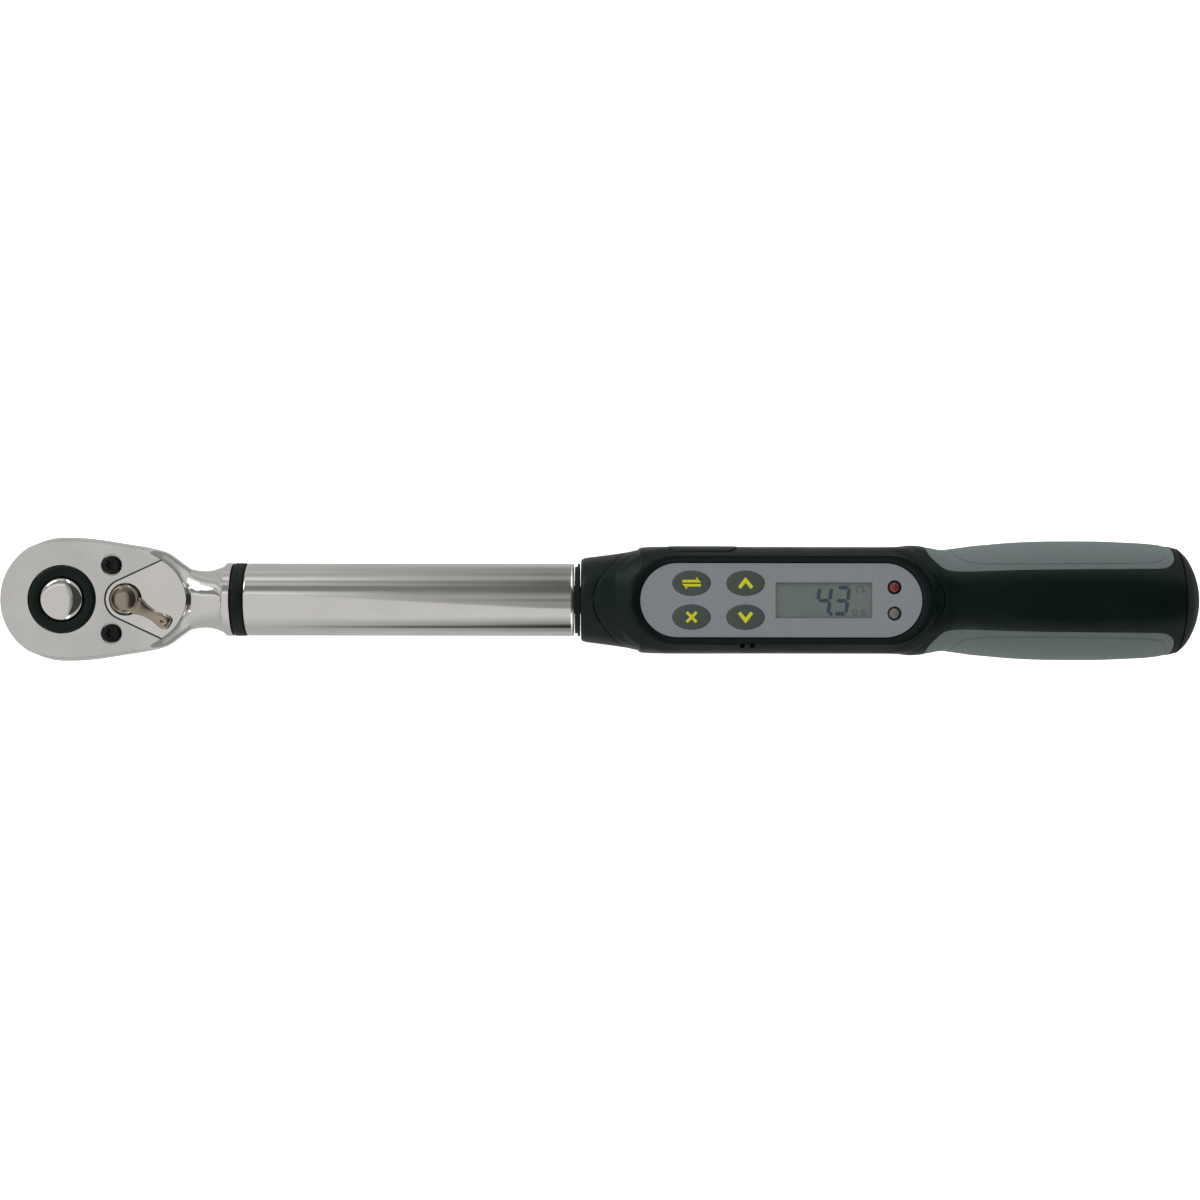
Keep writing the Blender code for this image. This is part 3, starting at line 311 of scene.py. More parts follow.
def loft(name, rings, closed=False):
    """Join rings of equally many points, in millimetres: capped at the ends, or closed into a loop."""
    bm = bmesh.new()
    rows = [[bm.verts.new([value * MM for value in point]) for point in points] for points in rings]
    join_rows(bm, rows, closed)
    if not closed:
        bm.faces.new(rows[0])
        bm.faces.new(rows[-1])
    return as_object(name, mesh_from(bm, name))


def turns(count):
    """Evenly spaced angles of one full turn."""
    return [2 * math.pi * i / count for i in range(count)]


def turned(name, profile, centre, along="Z", steps=96, closed=False):
    """Turn (radius, distance) points about an axis through a centre, all in millimetres."""
    bm = bmesh.new()
    rows = []
    for radius, distance in profile:
        row = []
        for angle in turns(steps)[:1 if radius < 1e-6 else steps]:
            a, b = radius * math.cos(angle), radius * math.sin(angle)
            point = {"Z": (a, b, distance), "X": (distance, a, b), "Y": (b, distance, a)}[along]
            row.append(bm.verts.new([(p + c) * MM for p, c in zip(point, centre)]))
        rows.append(row)
    join_rows(bm, rows, closed)
    return as_object(name, mesh_from(bm, name))


def rod(name, radius, start, end, centre, along="Z", steps=48):
    return turned(name, [(0, end), (radius, end), (radius, start), (0, start)], centre, along, steps)


def plate(name, outlines, bottom, top):
    """Extrude flat outlines, the first outside and the others holes, between two heights."""
    curve = bpy.data.curves.new(name, "CURVE")
    curve.dimensions = "2D"
    curve.fill_mode = "BOTH"
    curve.extrude = (top - bottom) / 2 * MM
    for outline in outlines:
        spline = curve.splines.new("POLY")
        spline.points.add(len(outline) - 1)
        for point, (x, y) in zip(spline.points, outline):
            point.co = (x * MM, y * MM, 0, 1)
        spline.use_cyclic_u = True
    holder = as_object(name + "_outline", curve)
    bpy.context.view_layer.update()
    graph = bpy.context.evaluated_depsgraph_get()
    mesh = bpy.data.meshes.new_from_object(holder.evaluated_get(graph))
    bpy.data.objects.remove(holder)
    bpy.data.curves.remove(curve)
    bm = bmesh.new()
    bm.from_mesh(mesh)
    bmesh.ops.remove_doubles(bm, verts=bm.verts, dist=0.000001)
    if len(outlines) == 1:
        bmesh.ops.dissolve_limit(bm, angle_limit=0.003, verts=bm.verts, edges=bm.edges)
    for vert in bm.verts:
        vert.co.z += (top + bottom) / 2 * MM
    bmesh.ops.recalc_face_normals(bm, faces=bm.faces)
    bm.to_mesh(mesh)
    bm.free()
    mesh.materials.clear()
    return as_object(name, mesh)


def combine(target, operation, *tools):
    """Apply Booleans with each tool, and remove the tools."""
    for tool in tools:
        mod = target.modifiers.new("tool", "BOOLEAN")
        mod.operation = operation
        mod.object = tool
        settle(target)
        bpy.data.objects.remove(tool)
    return target


def cut(target, *tools):
    return combine(target, "DIFFERENCE", *tools)


def join(target, *tools):
    return combine(target, "UNION", *tools)


def common(target, *tools):
    return combine(target, "INTERSECT", *tools)


def settle(obj):
    """Turn an object's modifiers into its mesh."""
    bpy.context.view_layer.update()
    graph = bpy.context.evaluated_depsgraph_get()
    mesh = bpy.data.meshes.new_from_object(obj.evaluated_get(graph))
    old = obj.data
    obj.modifiers.clear()
    obj.data = mesh
    bpy.data.meshes.remove(old)


def round_edges(obj, width, segments=2, angle=35):
    mod = obj.modifiers.new("edge", "BEVEL")
    mod.width = width * MM
    mod.segments = segments
    mod.limit_method = "ANGLE"
    mod.angle_limit = math.radians(angle)
    mod.harden_normals = False
    settle(obj)
    return obj


def finish_piece(obj, material, body, nodes=(), sharp=35):
    """Shade a piece, give it its material and body, and let it stand for its CAD nodes."""
    obj.data.materials.clear()
    obj.data.materials.append(MATERIALS[material])
    obj.data.shade_smooth()
    obj.data.set_sharp_from_angle(angle=math.radians(sharp))
    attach(obj, body)
    if nodes:
        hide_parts(*nodes)
    return obj


# -------- outlines

def arc(centre_x, centre_y, radius, start, end, count):
    points = []
    for i in range(count):
        angle = math.radians(start + (end - start) * i / (count - 1))
        points.append((centre_x + radius * math.cos(angle), centre_y + radius * math.sin(angle)))
    return points


def circle(centre_x, centre_y, radius, count=64):
    return arc(centre_x, centre_y, radius, 0, 360, count + 1)[:-1]


def ellipse(centre_x, centre_y, half_x, half_y, count=72):
    return [(centre_x + half_x * x, centre_y + half_y * y) for x, y in circle(0, 0, 1, count)]


def rectangle(centre_x, centre_y, half_x, half_y):
    return [(centre_x - half_x, centre_y - half_y), (centre_x + half_x, centre_y - half_y),
            (centre_x + half_x, centre_y + half_y), (centre_x - half_x, centre_y + half_y)]


def stadium(start_x, end_x, half_width, count=49, end_length=None):
    """A long outline along X with half round, or half oval, ends."""
    left_length = half_width if end_length is None else end_length
    right = [(end_x - half_width + x, y) for x, y in arc(0, 0, half_width, -90, 90, count)]
    left = [(start_x + left_length + x * left_length / half_width, y)
            for x, y in arc(0, 0, half_width, 90, 270, count)]
    return right + left


def oval(count, power=1.0):
    """Points round a unit circle. A power below 1 makes it squarer."""
    points = []
    for angle in turns(count):
        side, up = math.cos(angle), math.sin(angle)
        points.append((math.copysign(abs(side) ** power, side), math.copysign(abs(up) ** power, up)))
    return points


def smooth(points, steps):
    """A smooth run through the points, with a few steps to each span."""
    result = []
    for i in range(len(points) - 1):
        before = points[max(i - 1, 0)]
        first, second = points[i], points[i + 1]
        after = points[min(i + 2, len(points) - 1)]
        for k in range(steps):
            t = k / steps
            result.append(tuple(
                0.5 * (2 * b + (c - a) * t + (2 * a - 5 * b + 4 * c - d) * t ** 2
                       + (3 * b - a - 3 * c + d) * t ** 3)
                for a, b, c, d in zip(before, first, second, after)))
    result.append(points[-1])
    return result


def evenly(points, count):
    """The same run of points, spaced evenly into a count."""
    lengths = [0.0]
    for first, second in zip(points, points[1:]):
        lengths.append(lengths[-1] + math.dist(first, second))
    result, k = [], 0
    for i in range(count):
        target = lengths[-1] * i / (count - 1)
        while k < len(points) - 2 and lengths[k + 1] < target:
            k += 1
        share = (target - lengths[k]) / max(lengths[k + 1] - lengths[k], 1e-9)
        result.append(tuple(a + (b - a) * share for a, b in zip(points[k], points[k + 1])))
    return result


# -------- handle skin

# Stations of x, half width, height above the axis, depth below it, squareness
HANDLE_STATIONS = [
    (170.4, 12.9, 12.9, 12.9, 2.1), (170.8, 13.6, 13.6, 13.6, 2.1), (171.8, 14.0, 14.0, 14.0, 2.1),
    (184.0, 15.6, 15.6, 15.6, 2.7), (189.0, 16.6, 16.9, 16.3, 3.6), (194.0, 17.6, 17.6, 16.8, 4.6),
    (230.0, 17.6, 17.6, 17.0, 4.8), (262.0, 17.6, 17.6, 17.2, 4.8), (273.6, 17.7, 17.6, 17.4, 4.0),
    (279.0, 18.2, 17.5, 17.5, 3.2), (284.0, 17.8, 17.2, 17.4, 2.8), (289.6, 16.9, 16.9, 17.2, 2.5),
    (294.9, 17.4, 17.0, 17.6, 2.3), (300.0, 18.1, 17.2, 18.4, 2.3), (305.5, 18.6, 17.5, 19.2, 2.3),
    (311.0, 19.1, 17.8, 19.9, 2.3), (318.0, 19.5, 18.0, 20.1, 2.3), (326.0, 19.7, 18.05, 20.1, 2.3),
    (340.0, 19.7, 18.05, 20.1, 2.3), (350.0, 19.35, 18.0, 20.0, 2.3), (358.0, 18.9, 17.9, 19.2, 2.2),
    (364.0, 18.1, 17.7, 18.2, 2.1), (366.6, 17.5, 17.5, 17.5, 2.0)]


def section(station, shrink):
    """The handle's outline at one station: rounder or squarer, and never below the floor."""
    x, half_width, height, depth, squareness = station
    points = []
    for side, up in oval(112, 2 / squareness):
        reach = height if up > 0 else depth
        points.append((x, (half_width - shrink) * side, max(AXIS_Z + (reach - shrink) * up, shrink)))
    return points


def handle_skin(name, shrink=0.0):
    """The handle's outside, or the same skin a little smaller."""
    stations = HANDLE_STATIONS[:3] + smooth(HANDLE_STATIONS[2:], 4)[1:]
    return loft(name, [section(station, shrink) for station in stations])


COVER_FRONT_X, COVER_REAR_X, _ = ends("display_cover")
COVER_BASE = low("display_cover")[2]
FRONT_BOW = 0.0423
REAR_BOW = 0.06


def cover_region(grow):
    """Plan of the display cover, with a bowed edge at each end."""
    reach, steps = 20.0, 48
    front, rear = [], []
    for i in range(steps + 1):
        y = reach * (1 - 2 * i / steps)
        front.append((COVER_FRONT_X - grow + FRONT_BOW * y * y, y))
        rear.append((COVER_REAR_X + grow - REAR_BOW * y * y, -y))
    return front + rear


PANEL_START_X, PANEL_END_X, PANEL_HALF_WIDTH = ends("panel_overlay")
PANEL_TOP = high("panel_overlay")[2]
PANEL_FLOOR = PANEL_TOP - 0.8
# Rings of the raised rim: start x, end x, half width, height above the axis, length of the front end
RIM_RINGS = [
    (178.0, 292.0, 17.4, 6.0, 20.8), (178.0, 291.5, 17.4, 10.5, 20.5), (179.5, 290.0, 17.1, 13.4, 19.5),
    (180.6, 289.2, 16.8, 14.4, 19.0), (181.5, 288.3, 16.4, 15.2, 18.6), (183.2, 287.2, 15.8, 16.1, 17.9),
    (184.4, 286.2, 15.2, 16.8, 17.2), (185.1, 285.6, 14.85, 17.2, 16.8), (185.6, 285.1, 14.6, 17.42, 16.4),
    (186.1, 284.7, 14.3, 17.55, 16.0)]
WELL_RINGS = [
    (PANEL_START_X - GAP, PANEL_END_X + GAP, PANEL_HALF_WIDTH + GAP, PANEL_FLOOR - AXIS_Z, 12.3),
    (PANEL_START_X - 0.5, PANEL_END_X + 0.45, PANEL_HALF_WIDTH + 0.45, PANEL_TOP - AXIS_Z, 12.6),
    (187.9, 282.6, 13.5, 16.55, 14.3), (187.3, 283.2, 14.05, 17.75, 15.2)]


def long_rings(name, levels):
    """A loft of long outlines: each has its ends, half width, height above the axis and front length."""
    return loft(name, [[(x, y, AXIS_Z + z) for x, y in stadium(start, end, half_width, 49, length)]
                       for start, end, half_width, z, length in levels])


def handle_blank(name):
    """The handle's skin with the raised rim, long in front and short behind, round the panel."""
    return join(handle_skin(name), long_rings("rim", RIM_RINGS))


def display_cover():
    cover = common(handle_blank("display_cover_shell"), plate("plan", [cover_region(0)], COVER_BASE, ABOVE))
    cut(cover, box("inside", (TRAY_START_X, -TRAY_HALF_WIDTH, AXIS_Z - 5),
                   (TRAY_END_X, TRAY_HALF_WIDTH, AXIS_Z + 13)))
    cut(cover, beam_way(), long_rings("well", WELL_RINGS))
    end_x, end_y, end_z = [value + GAP for value in high("lcd_module")]
    cut(cover, box("module_way", [value - GAP for value in low("lcd_module")], (end_x, end_y, end_z + 2)))
    for radius, names in ((2.3, KEY_BODIES), (2.25, LIGHTS)):
        for name in names:
            x, y, _ = middle(name)
            cut(cover, rod("way", radius, AXIS_Z + 8, AXIS_Z + 20, (x, y, 0)))
    cut(cover, port_slab("pocket", GAP, low("port_cover")[1] - GAP))
    for x in (222.85, 226.15):
        cut(cover, box("slot", (x - 0.7, -15.5, AXIS_Z + 12.2), (x + 0.7, -14.1, AXIS_Z + 20)))
    round_edges(cover, 0.16, 2, 38)
    finish_piece(cover, "housing", "frame", ["display_cover"], 38)


def beam_way():
    return rod("beam_way", BEAM_WAY_RADIUS, 168, 192, (0, 0, AXIS_Z), "X")


def port_slab(name, grow, inner_y):
    """A slab across the shoulder with half round ends: the room of the rubber cover, or its blank."""
    start, end, _ = ends("port_cover")
    half = 3.4
    centre_z = low("port_cover")[2] + half
    outline = stadium(start - grow, end + grow, half + grow, 17)
    return loft(name, [[(x, y, centre_z + z) for x, z in outline] for y in (inner_y, 22.0)])


def port_cover():
    """A rubber plug a hair proud of the shoulder, with half round ends and rounded edges."""
    flap = port_slab("port_plug", 0.0, low("port_cover")[1])
    shoulder = handle_blank("shoulder")
    for vert in shoulder.data.vertices:
        vert.co.y *= 1.014
        vert.co.z += (vert.co.z - AXIS_Z * MM) * 0.012
    common(flap, shoulder)
    round_edges(flap, 0.3, 3, 40)
    finish_piece(flap, "port_rubber", "port_flap", ["port_cover"], 50)


def opened_out(edge, side):
    """A smooth edge, and all that lies outside it on one side of the wrench."""
    return [(x, side * y) for x, y in smooth(edge, 6) + [(edge[-1][0], 24), (edge[0][0], 24)]]


def pad_region(side, grow):
    """Plan of a grip pad: a sharp corner at the front, nearly straight inside, round at the rear."""
    front, rear = 283.3 - grow, 364.4 + grow
    inner = [(287.6, 11.0), (290.3, 9.75), (295.0, 9.4), (303.0, 9.6), (314.0, 9.95), (330.0, 10.2),
             (350.0, 10.35), (358.5, 10.45)]
    edge = [(front, 17.6), (front + 0.7, 14.9)] + [(x, y - grow) for x, y in inner]
    edge += [(rear - 2.7, 11.1 - grow), (rear - 0.7, 12.9), (rear, 15.2), (rear, 17.6)]
    return opened_out(edge, side)


def pad_raised_region(side):
    """The slightly raised field inside a pad's rim."""
    edge = [(291.6, 18.6), (292.6, 15.2), (295.6, 13.0), (301.0, 12.1), (310.0, 12.0), (330.0, 12.15),
            (350.0, 12.3), (357.0, 12.6), (360.0, 13.7), (361.6, 16.0), (361.8, 18.6)]
    return opened_out(edge, side)


def grip_pads():
    for name, side in (("grip_pad_upper", 1), ("grip_pad_lower", -1)):
        pad = common(handle_skin(name + "_skin", 0.12), plate("plan", [pad_region(side, 0)], -5, ABOVE))
        join(pad, common(handle_skin("field"), plate("plan", [pad_raised_region(side)], -5, ABOVE)))
        cut(pad, handle_skin("core", 1.8))
        round_edges(pad, 0.28, 3, 30)
        finish_piece(pad, "grip", "frame", [name], 50)


def handle_body():
    body = handle_blank("handle_shell")
    cut(body, plate("plan", [cover_region(GAP)], COVER_BASE - GAP, ABOVE))
    cut(body, box("crown", (296, -20, AXIS_Z + 17.45), (368, 20, AXIS_Z + 20)), beam_way())
    cut(body, box("tray", (TRAY_START_X, -TRAY_HALF_WIDTH, AXIS_Z - 12),
                  (TRAY_END_X, TRAY_HALF_WIDTH, ABOVE)))
    cut(body, rod("bay", 15.3, 304, 370, (0, 0, AXIS_Z), "X", 96))
    for side in (1, -1):
        recess = plate("recess", [pad_region(side, 0.15)], -5, ABOVE)
        cut(recess, handle_skin("core", 2.1))
        cut(body, recess)
    for number in range(1, 5):
        screw = middle(f"case_screw_{number}")
        cut(body, stepped("way", 1.8, 2.9, AXIS_Z - 11.5, -2, AXIS_Z + 6, *screw[:2], 32))
    cut(body, stepped("way", 2.3, 3.8, AXIS_Z - 12.7, -2, AXIS_Z, *middle("beam_screw")[:2], 32))
    round_edges(body, 0.16, 2, 38)
    finish_piece(body, "housing", "frame", ["handle_body"], 38)


def battery_cap():
    """A domed twist cap with a coin slot, a grip rim and a spigot with a ring groove."""
    start, end, radius = ends("battery_cap")
    start, end = start + 4.2, end - 0.75
    dome = smooth([(0, end), (4.2, end - 0.2), (9.7, end - 1.8), (14.4, end - 4.3), (16.4, end - 6.1),
                   (radius, end - 7.3)], 5)
    spigot = [(14.8, 0), (14.8, -1.2), (13.5, -1.2), (13.5, -3.0), (14.8, -3.0), (14.8, -4.0), (14.6, -4.2),
              (13.0, -4.2), (13.0, 1.0), (0, 1.0)]
    profile = dome + [(radius, start + 0.2), (radius - 0.25, start)]
    profile += [(reach, start + shift) for reach, shift in spigot]
    cap = turned("end_cap", profile, (0, 0, AXIS_Z), "X")
    cut(cap, box("slot", (end - 1.6, -7.5, AXIS_Z - 1.1), (end + 2, 7.5, AXIS_Z + 1.1)))
    round_edges(cap, 0.12, 2, 40)
    finish_piece(cap, "housing", "cap", ["battery_cap"], 40)
    start, end, radius = ends("cap_o_ring")
    half = (end - start) / 2
    profile = circle(radius - half, (start + end) / 2, half, 18)
    seal = turned("cap_seal_ring", profile, (0, 0, AXIS_Z), "X", 96, True)
    finish_piece(seal, "seal_rubber", "cap_seal", ["cap_o_ring"], 60)


# -------- display panel

LEGEND_HEIGHT = 0.06
DIGIT_WIDTH, DIGIT_HEIGHT = 3.85, 8.5


def panel_overlay():
    outlines = [stadium(PANEL_START_X, PANEL_END_X, PANEL_HALF_WIDTH, 65)]
    for name in KEY_BODIES:
        x, y, _ = middle(name)
        outlines.append(ellipse(x, y, KEY_HALF_X + 0.12, KEY_HALF_Y + 0.12))
    x, y, _ = middle("lcd_window")
    outlines.append(rectangle(x, y, WINDOW_HALF_X + 0.1, WINDOW_HALF_Y + 0.1))
    for name in LIGHTS:
        x, y, _ = middle(name)
        outlines.append(circle(x, y, 2.3))
    sheet = plate("panel_film", outlines, PANEL_FLOOR + 0.1, PANEL_TOP)
    round_edges(sheet, 0.09, 2, 60)
    finish_piece(sheet, "panel", "frame", ["panel_overlay"], 20)


def key_pads():
    for name, body in KEY_BODIES.items():
        x, y, _ = middle(name)
        top = high(name)[2]
        levels = ((0.0, PANEL_TOP - 0.35), (0.0, PANEL_TOP - 0.02), (0.15, top - 0.06), (0.5, top - 0.02))
        rings = [[(a, b, z) for a, b in ellipse(x, y, KEY_HALF_X - inset, KEY_HALF_Y - inset)]
                 for inset, z in levels]
        key = loft(name + "_film", rings)
        join(key, rod("stem", 2.0, low(name)[2], PANEL_TOP - 0.1, (x, y, 0), "Z", 32))
        finish_piece(key, "key", body, [name], 40)
        legend(name, x, y, top - 0.02, body)


def stroke(name, points, width, z, closed=False):
    """A flat printed line of one width with square ends, standing a hair above its surface."""
    rings = []
    count = len(points)
    for i, (x, y) in enumerate(points):
        before = points[(i - 1) % count] if closed or i > 0 else points[i]
        after = points[(i + 1) % count] if closed or i < count - 1 else points[i]
        dx, dy = after[0] - before[0], after[1] - before[1]
        length = math.hypot(dx, dy)
        nx, ny = -dy / length * width / 2, dx / length * width / 2
        if points[i] not in (before, after):
            ux, uy = x - before[0], y - before[1]
            turn = max(abs(ux * dx + uy * dy) / (math.hypot(ux, uy) * length), 0.4)
            nx, ny = nx / turn, ny / turn
        rings.append([(x + nx, y + ny, z), (x - nx, y - ny, z), (x - nx, y - ny, z + LEGEND_HEIGHT),
                      (x + nx, y + ny, z + LEGEND_HEIGHT)])
    return loft(name, rings, closed)


def legend(name, x, y, z, body):
    """A plain symbol on each key: up and down chevrons, a swap arrow pair and a cross."""
    marks = []
    if name in ("key_up", "key_down"):
        turn = 1 if name == "key_up" else -1
        points = [(x - 2.05, y - 1.5 * turn), (x, y + 1.1 * turn), (x + 2.05, y - 1.5 * turn)]
        marks.append(stroke(name + "_mark", points, 1.15, z))
    else:
        for turn in (1, -1):
            if name == "key_clear":
                points, width, lift = [(-1.6, -1.6 * turn), (1.6, 1.6 * turn)], 0.9, 0.015 * turn
            else:
                points = [(-3.0 * turn, 0.66 * turn), (3.0 * turn, 0.66 * turn), (1.5 * turn, 1.6 * turn)]
                width, lift = 0.82, 0.0
            points = [(x + a, y + b) for a, b in points]
            marks.append(stroke(f"{name}_mark_{turn + 2}", points, width, z + lift))
    for mark in marks:
        finish_piece(mark, "legend", body)


def segment_digit(name, segments, x, y, z):
    """A seven segment digit that leans to the right."""
    thick, gap = 1.2, 0.16
    half_w, half_h = DIGIT_WIDTH / 2, DIGIT_HEIGHT / 2
    bars = {"a": ((-half_w, half_h), (half_w, half_h)), "g": ((-half_w, 0), (half_w, 0)),
            "d": ((-half_w, -half_h), (half_w, -half_h)), "f": ((-half_w, half_h), (-half_w, 0)),
            "b": ((half_w, half_h), (half_w, 0)), "e": ((-half_w, 0), (-half_w, -half_h)),
            "c": ((half_w, 0), (half_w, -half_h))}
    lean = math.tan(math.radians(8))
    for key in segments:
        (x0, y0), (x1, y1) = bars[key]
        along = (math.copysign(1, x1 - x0), 0) if y0 == y1 else (0, math.copysign(1, y1 - y0))
        across = (-along[1], along[0])
        length = abs(x1 - x0) + abs(y1 - y0)
        outline = []
        near, far = gap + thick / 2, length - gap - thick / 2
        for run, side in ((gap, 0), (near, 0.5), (far, 0.5), (length - gap, 0), (far, -0.5), (near, -0.5)):
            px = x0 + along[0] * run + across[0] * side * thick
            py = y0 + along[1] * run + across[1] * side * thick
            outline.append((x + px + py * lean, y + py))
        bar = plate(f"{name}_{key}", [outline], z, z + LEGEND_HEIGHT)
        finish_piece(bar, "digits", "frame")


def display():
    sheet = round_edges(box("clear_window", low("lcd_window"), high("lcd_window")), 0.1)
    finish_piece(sheet, "window", "frame", ["lcd_window"])
    z, right = high("lcd_module")[2] + 0.01, high("lcd_window")[0]
    segment_digit("digit_left", "fgbc", right - 15.45, -0.1, z)
    segment_digit("digit_right", "abgcd", right - 9.65, -0.1, z)
    dot = plate("decimal_point", [rectangle(right - 13.2, -4.35, 0.55, 0.55)], z, z + LEGEND_HEIGHT)
    finish_piece(dot, "digits", "frame")
    turn_mark = stroke("torque_mark", arc(right - 3.7, 3.4, 1.15, -30, 230, 24), 0.36, z)
    finish_piece(turn_mark, "faint_digits", "frame")
    head = plate("torque_mark_head", [[(right - 2.9, 2.1), (right - 1.9, 3.1), (right - 3.0, 3.4)]], z,
                 z + LEGEND_HEIGHT)
    finish_piece(head, "faint_digits", "frame")
    for number, x in enumerate((right - 5.5, right - 2.6), 1):
        mark = stroke(f"small_mark_{number}", rectangle(x, -4.0, 0.7, 0.65), 0.3, z, True)
        finish_piece(mark, "faint_digits", "frame")


def lights():
    for name, material in LIGHTS.items():
        x, y, _ = middle(name)
        bottom, top = low(name)[2], high(name)[2]
        radius = (high(name)[0] - low(name)[0]) / 2
        dome = [(radius * math.sin(math.radians(a)), top - 1.25 * (1 - math.cos(math.radians(a))))
                for a in range(0, 91, 6)]
        body = turned(name + "_lens", dome + [(radius, bottom), (0, bottom)], (x, y, 0), "Z", 48)
        finish_piece(body, material, "frame", [name], 50)


# -------- ratchet head

LAND_TIP = (32.4, 12.85)
V_HALF_ANGLE = 25.0
NOSE_RADIUS = 6.9
V_GAP = 0.38
PLATE_BASE = HEAD_TOP - 1.6
EDGE = 0.12


def widest_outline():
    """Upper half of the head's widest outline: front, flank and neck, each as a run of points."""
    flank = smooth([(0, 20.4), (4.0, 20.35), (8.0, 20.1), (11.8, 19.65), (16.7, 18.85), (20.4, 18.25),
                    (24.7, 17.6), (27.8, 16.98), (30.8, 16.3), (33.2, 15.4)], 6)
    neck = smooth([(33.2, 15.4), (34.9, 14.35), (36.5, 13.15), (38.2, 11.85), (39.8, 10.7), (41.2, 9.5),
                   (42.4, 7.6), (43.1, 4.6), (43.3, 0.0)], 6)
    return arc(0, 0, HEAD_RADIUS, 180, 90, 61), evenly(flank, 61), evenly(neck, 51)


def flat_outline():
    """Upper half of the head's flat face, in the same three runs."""
    front = []
    for i in range(61):
        angle = 180 - 1.5 * i
        ease = min(max((124 - angle) / 22, 0), 1)
        radius = 20.22 - 1.28 * ease * ease * (3 - 2 * ease)
        front.append((radius * math.cos(math.radians(angle)), radius * math.sin(math.radians(angle))))
    flank = smooth([(0, 18.94), (4.0, 19.0), (8.0, 18.85), (12.6, 18.4), (17.5, 17.75), (22.0, 17.05),
                    (25.4, 16.4), (28.5, 15.15), (30.4, 14.15), LAND_TIP], 6)
    land = smooth([LAND_TIP, (35.2, 10.8), (37.6, 8.3), (39.5, 5.2), (40.5, 2.3), (40.8, 0.0)], 8)
    return front, evenly(flank, 61), evenly(land, 51)


def head_ring(side_share, neck_share, z):
    """One ring of the forging, between the flat face's outline (share 0) and the widest one (share 1)."""
    half = []
    for part, (flat, wide) in enumerate(zip(flat_outline(), widest_outline())):
        for i in range(0 if part == 0 else 1, len(flat)):
            ease = (0.0, max(0.0, (i - 52) / 8), 1.0)[part]
            share = side_share + (neck_share - side_share) * ease
            half.append(tuple(a + (b - a) * share for a, b in zip(flat[i], wide[i])))
    return [(x, y, z) for x, y in half + [(x, -y) for x, y in half[::-1][1:-1]]]


def head_forging(name):
    """The head's outside: flat faces, a steep draft round the flanks and a step down to the neck."""
    levels = [(0.0, 0.0, 0.0), (0.05, 0.03, 0.06), (0.28, 0.05, 0.9), (0.53, 0.10, 1.8), (0.76, 0.28, 2.7),
              (0.92, 0.6, 3.6), (1.0, 0.9, 4.6), (1.0, 1.0, 5.4)]
    rings = [head_ring(side, neck, HEAD_TOP - drop) for side, neck, drop in levels]
    rings += [head_ring(side, neck, HEAD_BOTTOM + drop) for side, neck, drop in levels[::-1]]
    return loft(name, rings)


def v_edge(radius, tip_x):
    """The V's two straight edges and its nose arc, from the top tip to the bottom tip."""
    side = 90 + V_HALF_ANGLE
    slope = math.tan(math.radians(V_HALF_ANGLE))
    start = (PIVOT_X + radius * math.cos(math.radians(side)), radius * math.sin(math.radians(side)))
    tip = (tip_x, start[1] + (tip_x - start[0]) * slope)
    return [tip] + arc(PIVOT_X, 0, radius, side, 360 - side, 49) + [(tip[0], -tip[1])]


def v_front(name, radius, bottom, turn_in):
    """All space in front of the V from a height up. Its top edge leans by a small chamfer."""
    lip = radius + (EDGE if turn_in else -EDGE)
    levels = [(radius, bottom), (radius, HEAD_TOP - EDGE), (lip, HEAD_TOP), (lip, HEAD_TOP + 3)]
    return loft(name, [[(x, y, z) for x, y in v_edge(reach, 46.0) + [(-24, -24), (-24, 24)]]
                       for reach, z in levels])


def lipped_hole(radius, bottom, x=0.0, y=0.0, steps=96):
    """The cutter of a round hole in the top face, with a small chamfer at its edge."""
    profile = [(0, HEAD_TOP + 3), (radius + EDGE, HEAD_TOP + 3), (radius + EDGE, HEAD_TOP),
               (radius, HEAD_TOP - EDGE), (radius, bottom), (0, bottom)]
    return turned("hole", profile, (x, y, 0), "Z", steps)


def ratchet_head():
    head = head_forging("head_forging")
    neck = smooth([(35.0, 9.5, 3.0), (37.0, 10.6, 4.3), (39.0, 10.7, 5.4), (41.0, 10.15, 6.4),
                   (43.1, 9.68, 7.3), (45.0, 9.45, 8.0), (47.0, 9.5, 8.8), (49.0, 9.85, 9.6),
                   (50.6, 10.4, 10.3), (51.8, 10.95, 10.95), (52.7, 11.55, 11.55)], 6)
    collar = [(52.95, 11.85), (53.05, 12.02), (53.2, 12.1), (55.25, 12.1), (55.35, 12.05), (55.4, 11.9)]
    neck += [(x, radius, radius) for x, radius in collar]
    join(head, loft("neck", [neck_section(*station) for station in neck]),
         rod("spigot", 9.4, 54.0, 76.0, (0, 0, AXIS_Z), "X", 64))
    cut(head, v_front("recess", NOSE_RADIUS - V_GAP, PLATE_BASE - 0.12, False))
    cut(head, stepped("gear_room", 12.8, 8.7, HEAD_BOTTOM + 2.4, HEAD_BOTTOM - 1, HEAD_TOP + 1))
    lever_bore = rod("lever_bore", 3.3, low("reverse_lever")[2] - GAP, HEAD_TOP, (PIVOT_X, 0, 0))
    cut(head, lipped_hole(5.3, HEAD_TOP - 1.0, PIVOT_X), lever_bore, pawl_room())
    cut(head, box("beam_slot", (61, -4.8, AXIS_Z - 6.3), (78, 4.8, AXIS_Z + 6.3)))
    for name in COVER_SCREWS:
        x, y, _ = middle(name)
        cut(head, rod("hole", 1.5, HEAD_BOTTOM + 5.4, HEAD_TOP + 1, (x, y, 0), "Z", 32))
    finish_piece(head, "chrome", "frame", ["ratchet_head"], 24)


